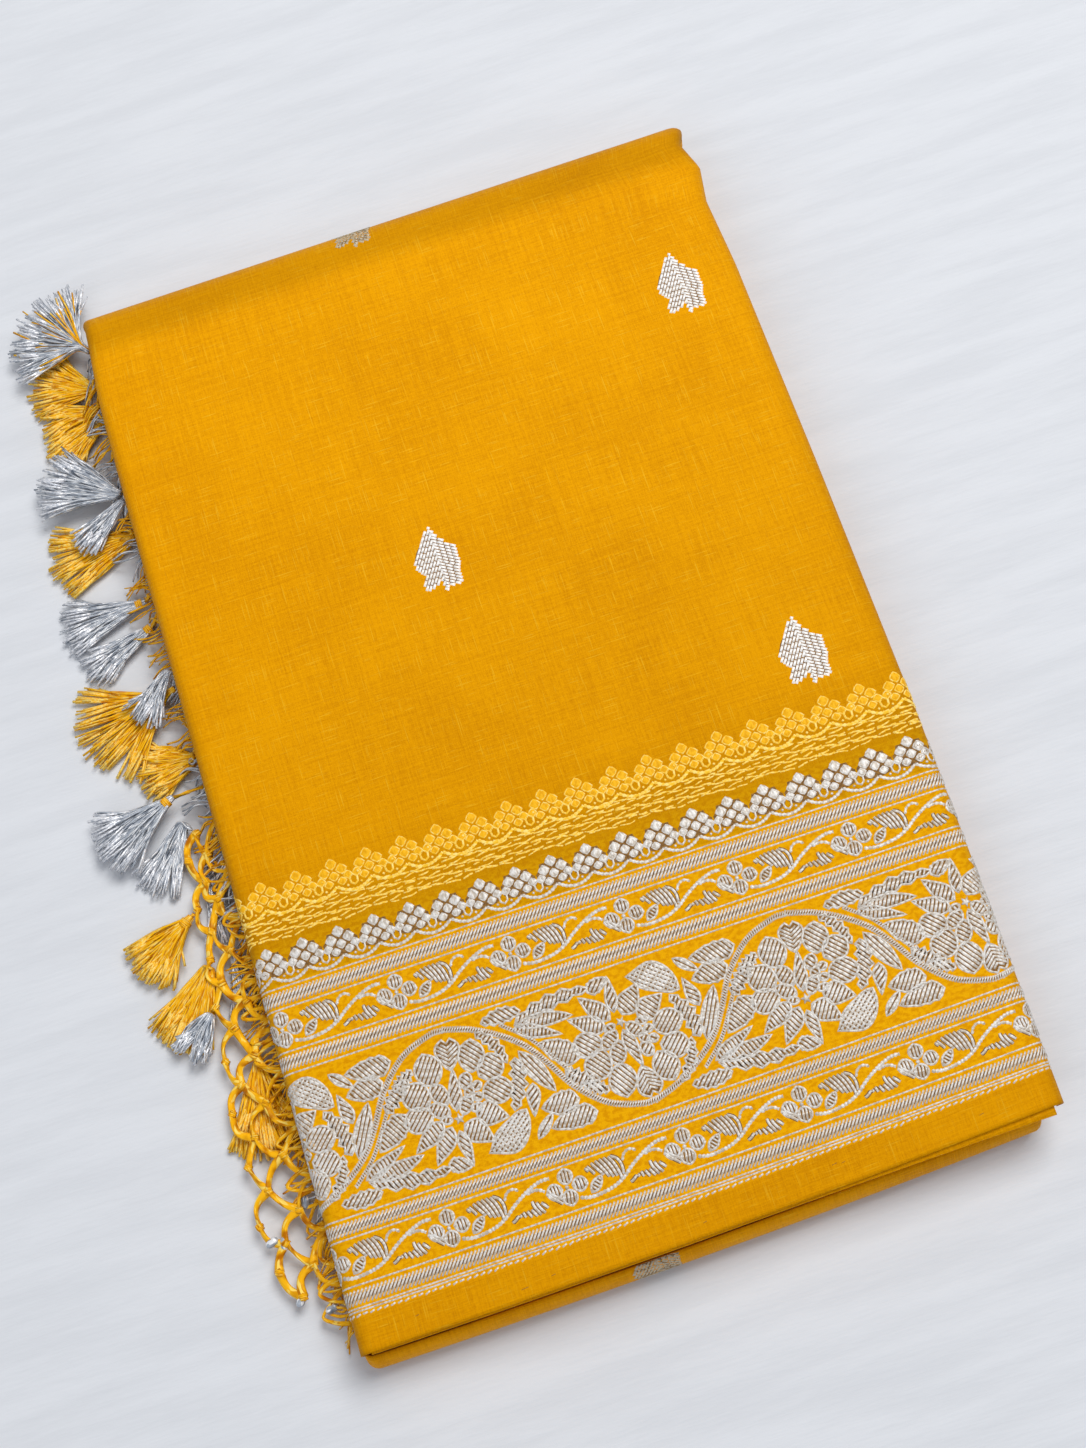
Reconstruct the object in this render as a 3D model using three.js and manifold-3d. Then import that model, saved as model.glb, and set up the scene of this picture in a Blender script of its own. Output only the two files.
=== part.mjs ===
// A silk saree folded to a flat stack, as it lies on a table, with a knotted fringe.
// Millimetres, +Z up. The origin is the middle of the flat underside. +X runs along
// the short side, +Y along the long side towards the top fold. The fringe is at -X.
//
// The cloth is folded along its length into one long strip, and the strip is then
// folded across in three. So one outer layer covers the top, runs over the top fold,
// along the underside and round the bottom fold. Every shape is first made on a
// square, even stack, and settle() then moves all points as the soft cloth has moved.

import * as THREE from "three";
import { mergeVertices } from "three/addons/utils/BufferGeometryUtils.js";
import Module from "manifold-3d";

// Driving sizes
const STACK = { width: 229, length: 373.3, height: 22 };
const WALL = 1.2;
const GAP = 0.3;
const HALF = { x: STACK.width / 2, y: STACK.length / 2 };
const COVER = WALL + GAP;

// Round edges: the side folds of one pack of layers, and the two folds across
const degrees = THREE.MathUtils.degToRad;
const SIDE_FOLD = { radius: 3.65, turn: degrees(130) };
const TOP_FOLD = { reach: 9, half: STACK.height / 2 };
const LOW_FOLD = { radius: 7.3, past: 4.3, turn: degrees(150) };
// Half the opening angle between two sheets that meet in the middle of the top fold
const SEAM = 0.015;
// How far round the hidden layers follow each fold
const INNER_TURN = { upperNose: degrees(144), lowerNose: degrees(122), top: degrees(72) };
const LOW_INNER_TURN = { start: degrees(79), end: degrees(36) };
const TOP_FOLD_Y = HALF.y - TOP_FOLD.reach;
const LOW_FOLD_Y = -HALF.y - LOW_FOLD.past + LOW_FOLD.radius;

// The second layer shows as a sliver under the hem
const SECOND = { wall: 1, past: 0.5, right: 2.1 };

// The middle pack shows at both sides as soft ridges between two grooves
const RIDGES = { low: 8.6, high: 14.3, count: 3, peak: 0.9, valley: 2.5 };
const GROOVES = { depth: 4.6, upper: 15.1, lowerTop: 8.25, lowerFoot: 5.5 };

// The front of the upper pack steps back, layer by layer, under the hem. A step is
// not quite upright, so that no face of it has zero area.
const STEP_SLOPE = 0.02;
const FRONT_STEPS = [
  { y: -HALF.y + 0.6, top: 16.2 },
  { y: -HALF.y + 1.4, top: 17.7 },
  { y: -HALF.y + 2.2, top: 19.2 },
];

// How far the side edges stand off a straight line: the small ear and notch at the
// top right, the pointed corner at the top left, and the slow bow of the long sides
const RIGHT_EDGE = [
  { y: 187, dx: -1.6 },
  { y: 183, dx: 0.3 },
  { y: 176, dx: -2.5 },
  { y: 165, dx: 1.1 },
  { y: 151, dx: -1.2 },
  { y: 124, dx: 0.3 },
  { y: 45, dx: 1.3 },
  { y: -48, dx: 1.7 },
  { y: -120, dx: 0.5 },
  { y: -187, dx: -0.6 },
];
const LEFT_EDGE = [
  { y: 187, dx: 0.6 },
  { y: 181, dx: 3.2 },
  { y: 174, dx: 2.8 },
  { y: 165, dx: 2.1 },
  { y: 151, dx: 1 },
  { y: 110, dx: 0.6 },
  { y: 0, dx: 0.2 },
  { y: -110, dx: -0.4 },
  { y: -187, dx: -0.8 },
];
const SKEW = { start: 75, ends: 2.6, middle: 1.4 };
const SHORT_LOW_FOLD = { by: 6.5, from: -150, to: -184, high: 17, low: 13.5 };

// Soft humps (+) and troughs (-) of the top panel
const SWELLS = [
  { x: 96, y: 168, wide: 16, long: 9, rise: -1.1 },
  { x: 104, y: 140, wide: 18, long: 20, rise: 0.6 },
  { x: -60, y: 70, wide: 50, long: 70, rise: 0.7 },
  { x: 45, y: -25, wide: 45, long: 60, rise: -0.8 },
  { x: -80, y: -110, wide: 36, long: 50, rise: -0.5 },
  { x: -38, y: -186, wide: 20, long: 15, rise: 0.8 },
  { x: 70, y: -150, wide: 34, long: 34, rise: 0.5 },
];

// Stations along Y that all cloth pieces share, so that their walls stay nested
const STATIONS = [-150, -118, -86, -54, -22, 10, 42, 74, 100, 122, 137, 145, 151, 158, 165, 171];
const LOW_ROWS = [-180, -170];

// The fringe: a heading strip in the lower groove of the left side, a knotted net on
// its lower half, and tassels. Net rows give how far the net reaches out from the strip.
const HEADING = { low: 7.38, thick: 0.9, inside: 2.6, outside: 1.7, end: 178 };
const NET = { pitch: 17.6, first: -7, cells: 10, strand: 0.8, root: 0.42, knot: 1.65, z: 5.3, sides: 4 };
const NET_UNEVEN = { along: 1.4, out: 1, high: 0.25, inStrip: 0.3 };
const NET_REACH = [
  { y: 5, out: 10 },
  { y: -40, out: 13 },
  { y: -75, out: 17 },
  { y: -105, out: 19.5 },
  { y: -150, out: 19.5 },
  { y: -190, out: 14 },
];
const NET_ROWS = [0, 0.38, 0.72, 1];
const TASSEL = {
  cord: 0.7, root: 0.9, belly: 0.55, length: 4.6, skirt: 7.5, overlap: 1,
  strand: 0.5, tip: 0.34, drop: 2.4, layer: 0.75, uneven: 1.6, floor: 0.9, low: 3,
};
const SILVER = { color: 0xaab0b8, roughness: 0.35, metalness: 0.7 };
const GOLD = { color: 0xe59a12, roughness: 0.6, metalness: 0 };

// Tassels: head place, direction and spread of the fan in degrees, its length, the
// height of the head, the count of strands and the thread
const TASSELS = [
  { x: -118.6, y: 184, turn: 141, spread: 98, long: 24, z: 7.9, count: 11, thread: SILVER },
  { x: -119.3, y: 167, turn: 150, spread: 50, long: 20, z: 3.4, count: 9, thread: GOLD },
  { x: -119.4, y: 157, turn: 172, spread: 18, long: 19, z: 3.4, count: 6, thread: GOLD },
  { x: -119.3, y: 151, turn: 210, spread: 30, long: 18, z: 3.4, count: 6, thread: GOLD },
  { x: -120.4, y: 122, turn: 143, spread: 60, long: 27, z: 7.9, count: 11, thread: SILVER },
  { x: -119.5, y: 115, turn: 212, spread: 26, long: 19, z: 7.9, count: 6, thread: SILVER },
  { x: -120.2, y: 104.6, turn: 183, spread: 46, long: 28, z: 3.4, count: 10, thread: GOLD },
  { x: -120.6, y: 79.2, turn: 181, spread: 24, long: 30, z: 3.4, count: 10, thread: SILVER },
  { x: -120, y: 69.2, turn: 199, spread: 14, long: 27, z: 3.4, count: 10, thread: SILVER },
  { x: -124.7, y: 42.4, turn: 197, spread: 70, long: 30, z: 3.4, count: 12, thread: GOLD },
  { x: -119.6, y: 47.5, turn: 226, spread: 30, long: 17, z: 8.2, count: 6, thread: SILVER },
  { x: -119.5, y: 18, turn: 174, spread: 46, long: 13, z: 3.4, count: 11, thread: GOLD },
  { x: -129.3, y: 5.3, turn: 201, spread: 40, long: 27, z: 7.2, count: 10, thread: SILVER },
  { x: -128.8, y: -5.2, turn: 228, spread: 30, long: 22, z: 3.2, count: 10, thread: SILVER },
  { x: -131.6, y: -32.6, turn: 211, spread: 30, long: 22, z: 5, count: 11, thread: GOLD },
  { x: -134.9, y: -54.9, turn: 232, spread: 22, long: 23, z: 3.2, count: 12, thread: GOLD },
  { x: -136.5, y: -68, turn: 226, spread: 50, long: 13, z: 6.8, count: 10, thread: SILVER },
  { x: -119.5, y: -17, turn: 263, spread: 8, long: 24, z: 2.6, count: 6, thread: SILVER },
  { x: -125.5, y: -52, turn: 268, spread: 18, long: 16, z: 2.4, count: 6, thread: SILVER },
  { x: -133, y: -85, turn: 268, spread: 14, long: 26, z: 2.4, count: 6, thread: GOLD },
];

const wasm = await Module();
wasm.setup();

function lookUp(rows, y, key) {
  // Value of a table at y, straight between its rows and level past its ends
  const sorted = [...rows].sort((a, b) => a.y - b.y);
  if (y <= sorted[0].y) return sorted[0][key];
  for (let i = 1; i < sorted.length; i += 1) {
    const a = sorted[i - 1];
    const b = sorted[i];
    if (y <= b.y) return THREE.MathUtils.lerp(a[key], b[key], (y - a.y) / (b.y - a.y));
  }
  return sorted[sorted.length - 1][key];
}

function swell(x, y) {
  // Height of the soft humps and troughs at a place on the top panel
  let rise = 0;
  for (const s of SWELLS) {
    const across = (x - s.x) / s.wide;
    const along = (y - s.y) / s.long;
    rise += s.rise * Math.exp(-0.5 * (across * across + along * along));
  }
  return rise;
}

function settle(p) {
  // Move a point of the square stack to where the soft cloth really lies
  const side = THREE.MathUtils.clamp(p.x / HALF.x, -1, 1);
  const edge = side > 0 ? lookUp(RIGHT_EDGE, p.y, "dx") : lookUp(LEFT_EDGE, p.y, "dx");
  const slope = THREE.MathUtils.clamp((-SKEW.start - p.y) / (HALF.y - SKEW.start), 0, 1);
  const low = THREE.MathUtils.smoothstep(-p.z, -SHORT_LOW_FOLD.high, -SHORT_LOW_FOLD.low);
  const near = THREE.MathUtils.smoothstep(-p.y, -SHORT_LOW_FOLD.from, -SHORT_LOW_FOLD.to);
  const pulled = side > 0 ? SHORT_LOW_FOLD.by * low * near : 0;
  const weight = Math.abs(side) ** 3;
  const height = p.z / STACK.height;
  return new THREE.Vector3(
    p.x + (edge - pulled) * weight,
    p.y + slope * (SKEW.ends * side - SKEW.middle * (1 - side * side)),
    p.z + swell(p.x, p.y) * height * height,
  );
}

function spread(from, to, count) {
  // Even values from one end to the other, both ends included
  return Array.from({ length: count + 1 }, (_, i) => THREE.MathUtils.lerp(from, to, i / count));
}

function closedMesh(points, triangles) {
  const geometry = new THREE.BufferGeometry();
  const flat = points.flatMap((p) => [p.x, p.y, p.z]);
  geometry.setAttribute("position", new THREE.Float32BufferAttribute(flat, 3));
  geometry.setIndex(triangles);
  return geometry;
}

function wallBetween(outer, inner) {
  // Closed wall between two grids of points, rows running left of the columns' way
  const rows = outer.length;
  const columns = outer[0].length;
  const points = [...outer.flat(), ...inner.flat()];
  const at = (r, c) => r * columns + c;
  const under = rows * columns;
  const triangles = [];
  const quad = (a, b, c, d) => triangles.push(a, b, c, a, c, d);
  for (let r = 0; r < rows - 1; r += 1) {
    for (let c = 0; c < columns - 1; c += 1) {
      quad(at(r, c), at(r, c + 1), at(r + 1, c + 1), at(r + 1, c));
      quad(under + at(r, c), under + at(r + 1, c), under + at(r + 1, c + 1), under + at(r, c + 1));
    }
  }
  for (let c = 0; c < columns - 1; c += 1) {
    quad(at(0, c), under + at(0, c), under + at(0, c + 1), at(0, c + 1));
    const last = rows - 1;
    quad(at(last, c), at(last, c + 1), under + at(last, c + 1), under + at(last, c));
  }
  for (let r = 0; r < rows - 1; r += 1) {
    quad(at(r, 0), at(r + 1, 0), under + at(r + 1, 0), under + at(r, 0));
    const last = columns - 1;
    quad(at(r, last), under + at(r, last), under + at(r + 1, last), at(r + 1, last));
  }
  return closedMesh(points, triangles);
}

function loft(sections) {
  // Closed solid through rings of points, with a fan from its middle over each end
  const size = sections[0].length;
  const middle = (ring) => ring.reduce((sum, p) => sum.add(p), new THREE.Vector3()).divideScalar(size);
  const ends = [middle(sections[0]), middle(sections[sections.length - 1])];
  const points = [...sections.flat(), ...ends];
  const triangles = [];
  const last = (sections.length - 1) * size;
  for (let i = 0; i < size; i += 1) {
    const next = (i + 1) % size;
    for (let start = 0; start < last; start += size) {
      const a = start + i;
      const b = start + next;
      triangles.push(a, b, b + size, a, b + size, a + size);
    }
    triangles.push(points.length - 2, next, i);
    triangles.push(points.length - 1, last + i, last + next);
  }
  return closedMesh(points, triangles);
}

function sweep(path, radii, sides) {
  // Closed rod of few sides through the points of a path, with a radius at each
  const points = [];
  const triangles = [];
  const up = new THREE.Vector3(0, 0, 1);
  path.forEach((p, i) => {
    const before = path[Math.max(i - 1, 0)];
    const after = path[Math.min(i + 1, path.length - 1)];
    const along = after.clone().sub(before).normalize();
    const across = up.clone().cross(along).normalize();
    const rise = along.clone().cross(across);
    for (let k = 0; k < sides; k += 1) {
      const turn = (2 * Math.PI * k) / sides + Math.PI / 2;
      const step = across.clone().multiplyScalar(Math.cos(turn));
      step.addScaledVector(rise, Math.sin(turn));
      points.push(p.clone().addScaledVector(step, radii[i]));
    }
  });
  for (let i = 0; i < path.length - 1; i += 1) {
    for (let k = 0; k < sides; k += 1) {
      const a = i * sides + k;
      const b = i * sides + ((k + 1) % sides);
      triangles.push(a, b, b + sides, a, b + sides, a + sides);
    }
  }
  const last = (path.length - 1) * sides;
  for (let k = 1; k < sides - 1; k += 1) {
    triangles.push(0, k + 1, k, last, last + k, last + k + 1);
  }
  return closedMesh(points, triangles);
}

function toManifold(geometry) {
  const bare = mergeVertices(geometry, 1e-5);
  return new wasm.Manifold(new wasm.Mesh({
    numProp: 3,
    vertProperties: new Float32Array(bare.attributes.position.array),
    triVerts: new Uint32Array(bare.index.array),
  }));
}

function join(geometries) {
  const [first, ...rest] = geometries.map(toManifold);
  const whole = rest.reduce((sum, next) => sum.add(next), first);
  const mesh = whole.getMesh();
  const geometry = new THREE.BufferGeometry();
  geometry.setAttribute("position", new THREE.BufferAttribute(mesh.vertProperties, 3));
  geometry.setIndex(new THREE.BufferAttribute(mesh.triVerts, 1));
  return geometry;
}

// Path of the outer layer in the YZ plane: each place has a point and an outward way

function topPlace(y) {
  return { y, z: STACK.height, out: { y: 0, z: 1 } };
}

function topFoldPlace(angle) {
  const out = new THREE.Vector2(Math.sin(angle) / TOP_FOLD.reach, Math.cos(angle) / TOP_FOLD.half);
  out.normalize();
  return {
    y: TOP_FOLD_Y + TOP_FOLD.reach * Math.sin(angle),
    z: TOP_FOLD.half * (1 + Math.cos(angle)),
    out: { y: out.x, z: out.y },
  };
}

function undersidePlace(y) {
  return { y, z: 0, out: { y: 0, z: -1 } };
}

function lowFoldPlace(angle) {
  return {
    y: LOW_FOLD_Y - LOW_FOLD.radius * Math.sin(angle),
    z: LOW_FOLD.radius * (1 - Math.cos(angle)),
    out: { y: -Math.sin(angle), z: -Math.cos(angle) },
  };
}

function crossing(depth, columns, turn) {
  // Places across a sheet that lies at a depth in its pack and curls round both sides
  const radius = SIDE_FOLD.radius - depth;
  const flat = HALF.x - SIDE_FOLD.radius;
  const bends = spread(0, turn, 4).slice(1);
  const curl = bends.map((a) => ({ x: flat + radius * Math.sin(a), in: radius * (1 - Math.cos(a)) }));
  const level = spread(-flat, flat, columns).map((x) => ({ x, in: 0 }));
  const mirrored = curl.map((c) => ({ x: -c.x, in: c.in })).reverse();
  return [...mirrored, ...level, ...curl];
}

function sheetGrid(places, depth, columns, turn) {
  // Points of a sheet that runs along the path's places, a depth below its surface
  return places.map((place) => crossing(depth, columns, turn).map((c) => settle(new THREE.Vector3(
    c.x,
    place.y - place.out.y * (c.in + depth),
    place.z - place.out.z * (c.in + depth),
  ))));
}

function sheet(places, depth, wall, columns, turn = SIDE_FOLD.turn) {
  return wallBetween(
    sheetGrid(places, depth, columns, turn),
    sheetGrid(places, depth + wall, columns, turn),
  );
}

function upperStretch() {
  const panel = [-HALF.y, ...LOW_ROWS, ...STATIONS, TOP_FOLD_Y].map(topPlace);
  const fold = spread(0, Math.PI / 2 - SEAM, 5).slice(1).map(topFoldPlace);
  return sheet([...panel, ...fold], 0, WALL, 10);
}

function underStretch() {
  const fold = spread(Math.PI / 2 + SEAM, Math.PI, 4).map(topFoldPlace);
  const flat = [...LOW_ROWS, ...STATIONS].reverse().map(undersidePlace);
  const low = spread(0, LOW_FOLD.turn, 6).map(lowFoldPlace);
  return sheet([...fold, ...flat, ...low], 0, WALL, 4);
}

function secondSheet() {
  // A flat tongue under the hem, turned a little so that its right end shows
  const rows = [-HALF.y - SECOND.past, LOW_ROWS[0], LOW_ROWS[1] - GAP];
  const level = (depth) => rows.map((y) => {
    const flat = HALF.x - SIDE_FOLD.radius;
    return spread(-flat, flat, 12).map((x) => {
      const shown = y < -HALF.y ? SECOND.right * Math.max(x / flat, 0) ** 2 : 0;
      return settle(new THREE.Vector3(x, y - shown, STACK.height - depth));
    });
  });
  return wallBetween(level(COVER), level(COVER + SECOND.wall));
}

function sideProfile(top, nose) {
  // Right side of the packed layers from top to bottom: round nose of the upper pack,
  // groove, ridges of the middle pack, groove, and the round nose of the lower pack
  const middle = HALF.x - SIDE_FOLD.radius;
  const points = spread(0, INNER_TURN.upperNose, 3).map((a) => ({
    x: middle + nose * Math.sin(a),
    z: top - nose * (1 - Math.cos(a)),
  }));
  points.push({ x: HALF.x - GROOVES.depth, z: GROOVES.upper });
  const tall = (RIDGES.high - RIDGES.low) / RIDGES.count;
  for (let i = 0; i < RIDGES.count; i += 1) {
    const z = RIDGES.high - tall * i;
    points.push({ x: HALF.x - RIDGES.valley, z });
    points.push({ x: HALF.x - RIDGES.peak, z: z - tall / 2 });
  }
  points.push({ x: HALF.x - RIDGES.valley, z: RIDGES.low });
  points.push({ x: HALF.x - GROOVES.depth, z: GROOVES.lowerTop });
  points.push({ x: HALF.x - GROOVES.depth, z: GROOVES.lowerFoot });
  const lowNose = SIDE_FOLD.radius - COVER;
  spread(INNER_TURN.lowerNose, 0, 2).forEach((a) => points.push({
    x: middle + lowNose * Math.sin(a),
    z: COVER + lowNose * (1 - Math.cos(a)),
  }));
  return points;
}

function plainProfile(top, bottom) {
  // A plain side with as many points, for the ends inside the folds
  const x = HALF.x - SIDE_FOLD.radius - GAP;
  const count = sideProfile(STACK.height, 1).length;
  return spread(top, bottom, count - 1).map((z) => ({ x, z }));
}

function ring(y, right) {
  // Closed section across the stack: the top, the right side, the underside, the left
  const low = right[right.length - 1];
  const top = spread(0, right[0].x, 4).slice(0, -1).map((x) => ({ x, z: right[0].z }));
  const base = spread(low.x, 0, 3).slice(1).map((x) => ({ x, z: low.z }));
  const half = [...top, ...right, ...base];
  const left = half.slice(1, -1).reverse().map((p) => ({ x: -p.x, z: p.z }));
  return [...half, ...left].map((p) => settle(new THREE.Vector3(p.x, y, p.z)));
}

function lowFoldRings() {
  // The layers inside the low fold, then the upper pack's front, which steps back
  const inside = LOW_FOLD.radius - COVER;
  const half = (y) => Math.sqrt(Math.max(inside ** 2 - Math.min(y - LOW_FOLD_Y, 0) ** 2, 0));
  const rings = spread(LOW_INNER_TURN.start, LOW_INNER_TURN.end, 2).map((a) => {
    const y = LOW_FOLD_Y - inside * Math.sin(a);
    return ring(y, plainProfile(LOW_FOLD.radius + half(y), LOW_FOLD.radius - half(y)));
  });
  let top = null;
  for (const step of FRONT_STEPS) {
    const low = LOW_FOLD.radius - half(step.y);
    rings.push(ring(step.y - STEP_SLOPE, plainProfile(top ?? LOW_FOLD.radius + half(step.y), low)));
    rings.push(ring(step.y + STEP_SLOPE, plainProfile(step.top, low)));
    top = step.top;
  }
  return rings;
}

function topFoldRings() {
  // The layers inside the top fold
  return spread(0, INNER_TURN.top, 3).map((a) => {
    const rise = (TOP_FOLD.half - COVER) * Math.cos(a);
    const y = TOP_FOLD_Y + (TOP_FOLD.reach - COVER) * Math.sin(a);
    return ring(y, plainProfile(TOP_FOLD.half + rise, TOP_FOLD.half - rise));
  });
}

function hiddenLayers() {
  // All the layers that the outer ones hide, as one rounded solid
  const nose = SIDE_FOLD.radius - COVER;
  const lower = COVER + SECOND.wall + GAP;
  const under = (y) => ring(y, sideProfile(STACK.height - lower, nose - SECOND.wall - GAP));
  const full = (y) => ring(y, sideProfile(STACK.height - COVER, nose));
  return loft([
    ...lowFoldRings(),
    under(LOW_ROWS[0]),
    under(LOW_ROWS[1] - STEP_SLOPE),
    full(LOW_ROWS[1]),
    ...STATIONS.map(full),
    ...topFoldRings(),
  ]);
}

function headingStrip() {
  // The woven end from which the fringe hangs, held in the lower groove at the left
  const rows = [-HEADING.end, LOW_ROWS[1], ...STATIONS, HEADING.end];
  const across = [-HALF.x - HEADING.outside, -HALF.x + HEADING.inside];
  const level = (z) => rows.map((y) => across.map((x) => settle(new THREE.Vector3(x, y, z))));
  return wallBetween(level(HEADING.low + HEADING.thick), level(HEADING.low));
}

function shift(i, k) {
  // A fixed uneven value from -1 to 1 for the item i of the row k
  const wave = Math.sin(i * 12.9898 + k * 78.233) * 43758.5453;
  return 2 * (wave - Math.floor(wave)) - 1;
}

function stripEdge(y) {
  // A point on the outer edge of the heading strip
  const z = HEADING.low + HEADING.thick / 2;
  const along = THREE.MathUtils.clamp(y, -HEADING.end, HEADING.end);
  return settle(new THREE.Vector3(-HALF.x - HEADING.outside, along, z));
}

function netKnot(row, i) {
  // A knot of the net: row 0 is in the strip, and the odd rows lie half a cell on
  const free = row > 0;
  const along = free ? shift(i, row) * NET_UNEVEN.along : 0;
  const y = NET.first - NET.pitch * (i + (row % 2) / 2) + along;
  const out = lookUp(NET_REACH, y, "out") * NET_ROWS[row];
  const root = stripEdge(y);
  const slack = free ? shift(i, row + NET_ROWS.length) : 0;
  const down = (root.z - NET.z) * Math.sqrt(NET_ROWS[row]) - slack * NET_UNEVEN.high;
  const inward = free ? slack * NET_UNEVEN.out : NET_UNEVEN.inStrip;
  return new THREE.Vector3(root.x - out + inward, y, root.z - down);
}

function netRows() {
  return NET_ROWS.map((_, row) => {
    const count = row % 2 ? NET.cells - 1 : NET.cells;
    return Array.from({ length: count }, (_unused, i) => netKnot(row, i));
  });
}

function fringeNet() {
  // Strands tied in knots at every crossing, fused to the heading strip
  const rows = netRows();
  const pieces = [headingStrip()];
  for (let row = 1; row < rows.length; row += 1) {
    rows[row].forEach((knot, i) => {
      const ball = new THREE.IcosahedronGeometry(NET.knot).deleteAttribute("normal");
      pieces.push(mergeVertices(ball.deleteAttribute("uv").translate(knot.x, knot.y, knot.z)));
      const near = row % 2 ? [i, i + 1] : [i - 1, i];
      for (const from of near.map((n) => rows[row - 1][n]).filter(Boolean)) {
        pieces.push(sweep([from, knot], [row > 1 ? NET.strand : NET.root, NET.strand], NET.sides));
      }
    });
  }
  return join(pieces);
}

function anchorNear(place) {
  // The knot or the place on the strip that a tassel's cord is tied to
  const options = [{ at: stripEdge(place.y), clear: 0 }];
  for (const knot of netRows().slice(1).flat()) options.push({ at: knot, clear: NET.knot });
  const flat = (o) => Math.hypot(o.at.x - place.x, o.at.y - place.y);
  return options.sort((a, b) => flat(a) - flat(b))[0];
}

function levelWay(turn) {
  return new THREE.Vector3(Math.cos(turn), Math.sin(turn), 0);
}

function boundHead(root, way, belly) {
  // A short barrel along the way of the tassel, pulled in where it is bound
  const profile = [
    [0, 0],
    [TASSEL.root, 0],
    [belly, TASSEL.length * 0.4],
    [belly * 0.8, TASSEL.length],
    [0, TASSEL.length],
  ].map(([r, t]) => new THREE.Vector2(r, t));
  const head = new THREE.LatheGeometry(profile, 5).deleteAttribute("normal").deleteAttribute("uv");
  head.applyQuaternion(new THREE.Quaternion().setFromUnitVectors(new THREE.Vector3(0, 1, 0), way));
  return mergeVertices(head.translate(root.x, root.y, root.z));
}

function wideAngle(belly) {
  // The angle that the width of the bound head adds to the fan
  return Math.asin((belly * 1.2) / TASSEL.skirt);
}

function skirt(root, turn, spreadAngle, belly) {
  // The threads just past the binding, still one flat bundle that fans out
  const half = (spreadAngle + wideAngle(belly)) / 2;
  const rim = spread(turn - half, turn + half, 4);
  const outline = [{ x: 0, y: 0 }, ...rim.map((a) => ({
    x: TASSEL.skirt * Math.cos(a),
    y: TASSEL.skirt * Math.sin(a),
  }))];
  const shape = new THREE.Shape(outline.map((p) => new THREE.Vector2(p.x, p.y)));
  const depth = belly * 1.5; // a little flatter than the head
  const fan = new THREE.ExtrudeGeometry(shape, { depth, bevelEnabled: false });
  fan.deleteAttribute("normal").deleteAttribute("uv");
  return mergeVertices(fan.translate(root.x, root.y, root.z - depth / 2));
}

function strands(root, turn, row, index, belly) {
  // The free threads, gathered in a few thick locks that start in the skirt
  const spreadAngle = degrees(row.spread) + wideAngle(belly) * 0.75;
  const lowest = Math.max(row.z - TASSEL.drop, TASSEL.floor);
  return Array.from({ length: row.count }, (_, k) => {
    const way = levelWay(turn + spreadAngle * (k / (row.count - 1) - 0.5));
    const layer = k % 3;
    const from = root.clone().addScaledVector(way, TASSEL.skirt - TASSEL.overlap);
    from.z += (layer - 1) * belly * 0.5;
    const long = row.long + TASSEL.overlap + shift(k, index) * TASSEL.uneven;
    const tip = root.clone().addScaledVector(way, long).setZ(lowest + layer * TASSEL.layer);
    return sweep([from, tip], [TASSEL.strand, TASSEL.tip], 3);
  });
}

function tassel(row, index) {
  // Cord, bound head and a fan of strands
  const turn = degrees(row.turn);
  const way = levelWay(turn);
  const belly = TASSEL.belly * Math.sqrt(row.count);
  const root = new THREE.Vector3(row.x, row.y, row.z).addScaledVector(way, -TASSEL.length / 2);
  const anchor = anchorNear(root);
  const steep = Math.abs(anchor.at.z - row.z) > TASSEL.cord * 2;
  const reach = anchor.clear + GAP + (steep ? TASSEL.cord : 0);
  const below = row.z < TASSEL.low;
  const axis = new THREE.Line3(root, root.clone().addScaledVector(way, TASSEL.length));
  const nearest = axis.closestPointToPoint(anchor.at.clone().setZ(row.z), true, new THREE.Vector3());
  if (below || nearest.setZ(anchor.at.z).distanceTo(anchor.at) < anchor.clear + belly + GAP) {
    root.copy(anchor.at).addScaledVector(way, reach + TASSEL.drop / 2).setZ(row.z);
  }
  const aside = root.clone().sub(anchor.at).setZ(0).normalize();
  const start = anchor.at.clone().addScaledVector(aside, below ? reach / 2 : reach);
  if (below) start.z -= reach * 0.85;
  const inside = root.clone().addScaledVector(way, TASSEL.overlap);
  return join([
    boundHead(root, way, belly),
    sweep([start, root, inside], [TASSEL.cord, TASSEL.cord, TASSEL.cord], 4),
    skirt(inside, turn, degrees(row.spread), belly),
    ...strands(inside, turn, row, index, belly),
  ]);
}

const CLOTH = new THREE.MeshStandardMaterial({ color: 0xe39c08, roughness: 0.6, metalness: 0 });
const LAYERS = new THREE.MeshStandardMaterial({ color: 0xc58405, roughness: 0.7, metalness: 0 });
const threads = new Map([SILVER, GOLD].map((look) => [look, new THREE.MeshStandardMaterial(look)]));

const saree = new THREE.Group();

function add(name, geometry, material) {
  const mesh = new THREE.Mesh(geometry, material);
  mesh.name = name;
  saree.add(mesh);
}

add("hidden_layers", hiddenLayers(), LAYERS);
add("upper_stretch", upperStretch(), CLOTH);
add("second_sheet", secondSheet(), CLOTH);
add("under_stretch", underStretch(), CLOTH);
add("fringe_net", fringeNet(), threads.get(GOLD));
TASSELS.forEach((row, i) => {
  const name = `tassel_${String(i + 1).padStart(2, "0")}`;
  add(name, tassel(row, i), threads.get(row.thread));
});

export default saree;
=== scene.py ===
"""Folded saree with a woven metal-thread border and a knotted, tasselled fringe.

Lengths in the tables are millimetres and angles are degrees. Flat places on the cloth
are (u, v): u runs across from the middle of the pack, and v runs along the cloth from
the hem, over the top fold, along the underside and round the low fold.
"""

import math

import bpy
import numpy as np
from mathutils import Matrix, Vector


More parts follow.
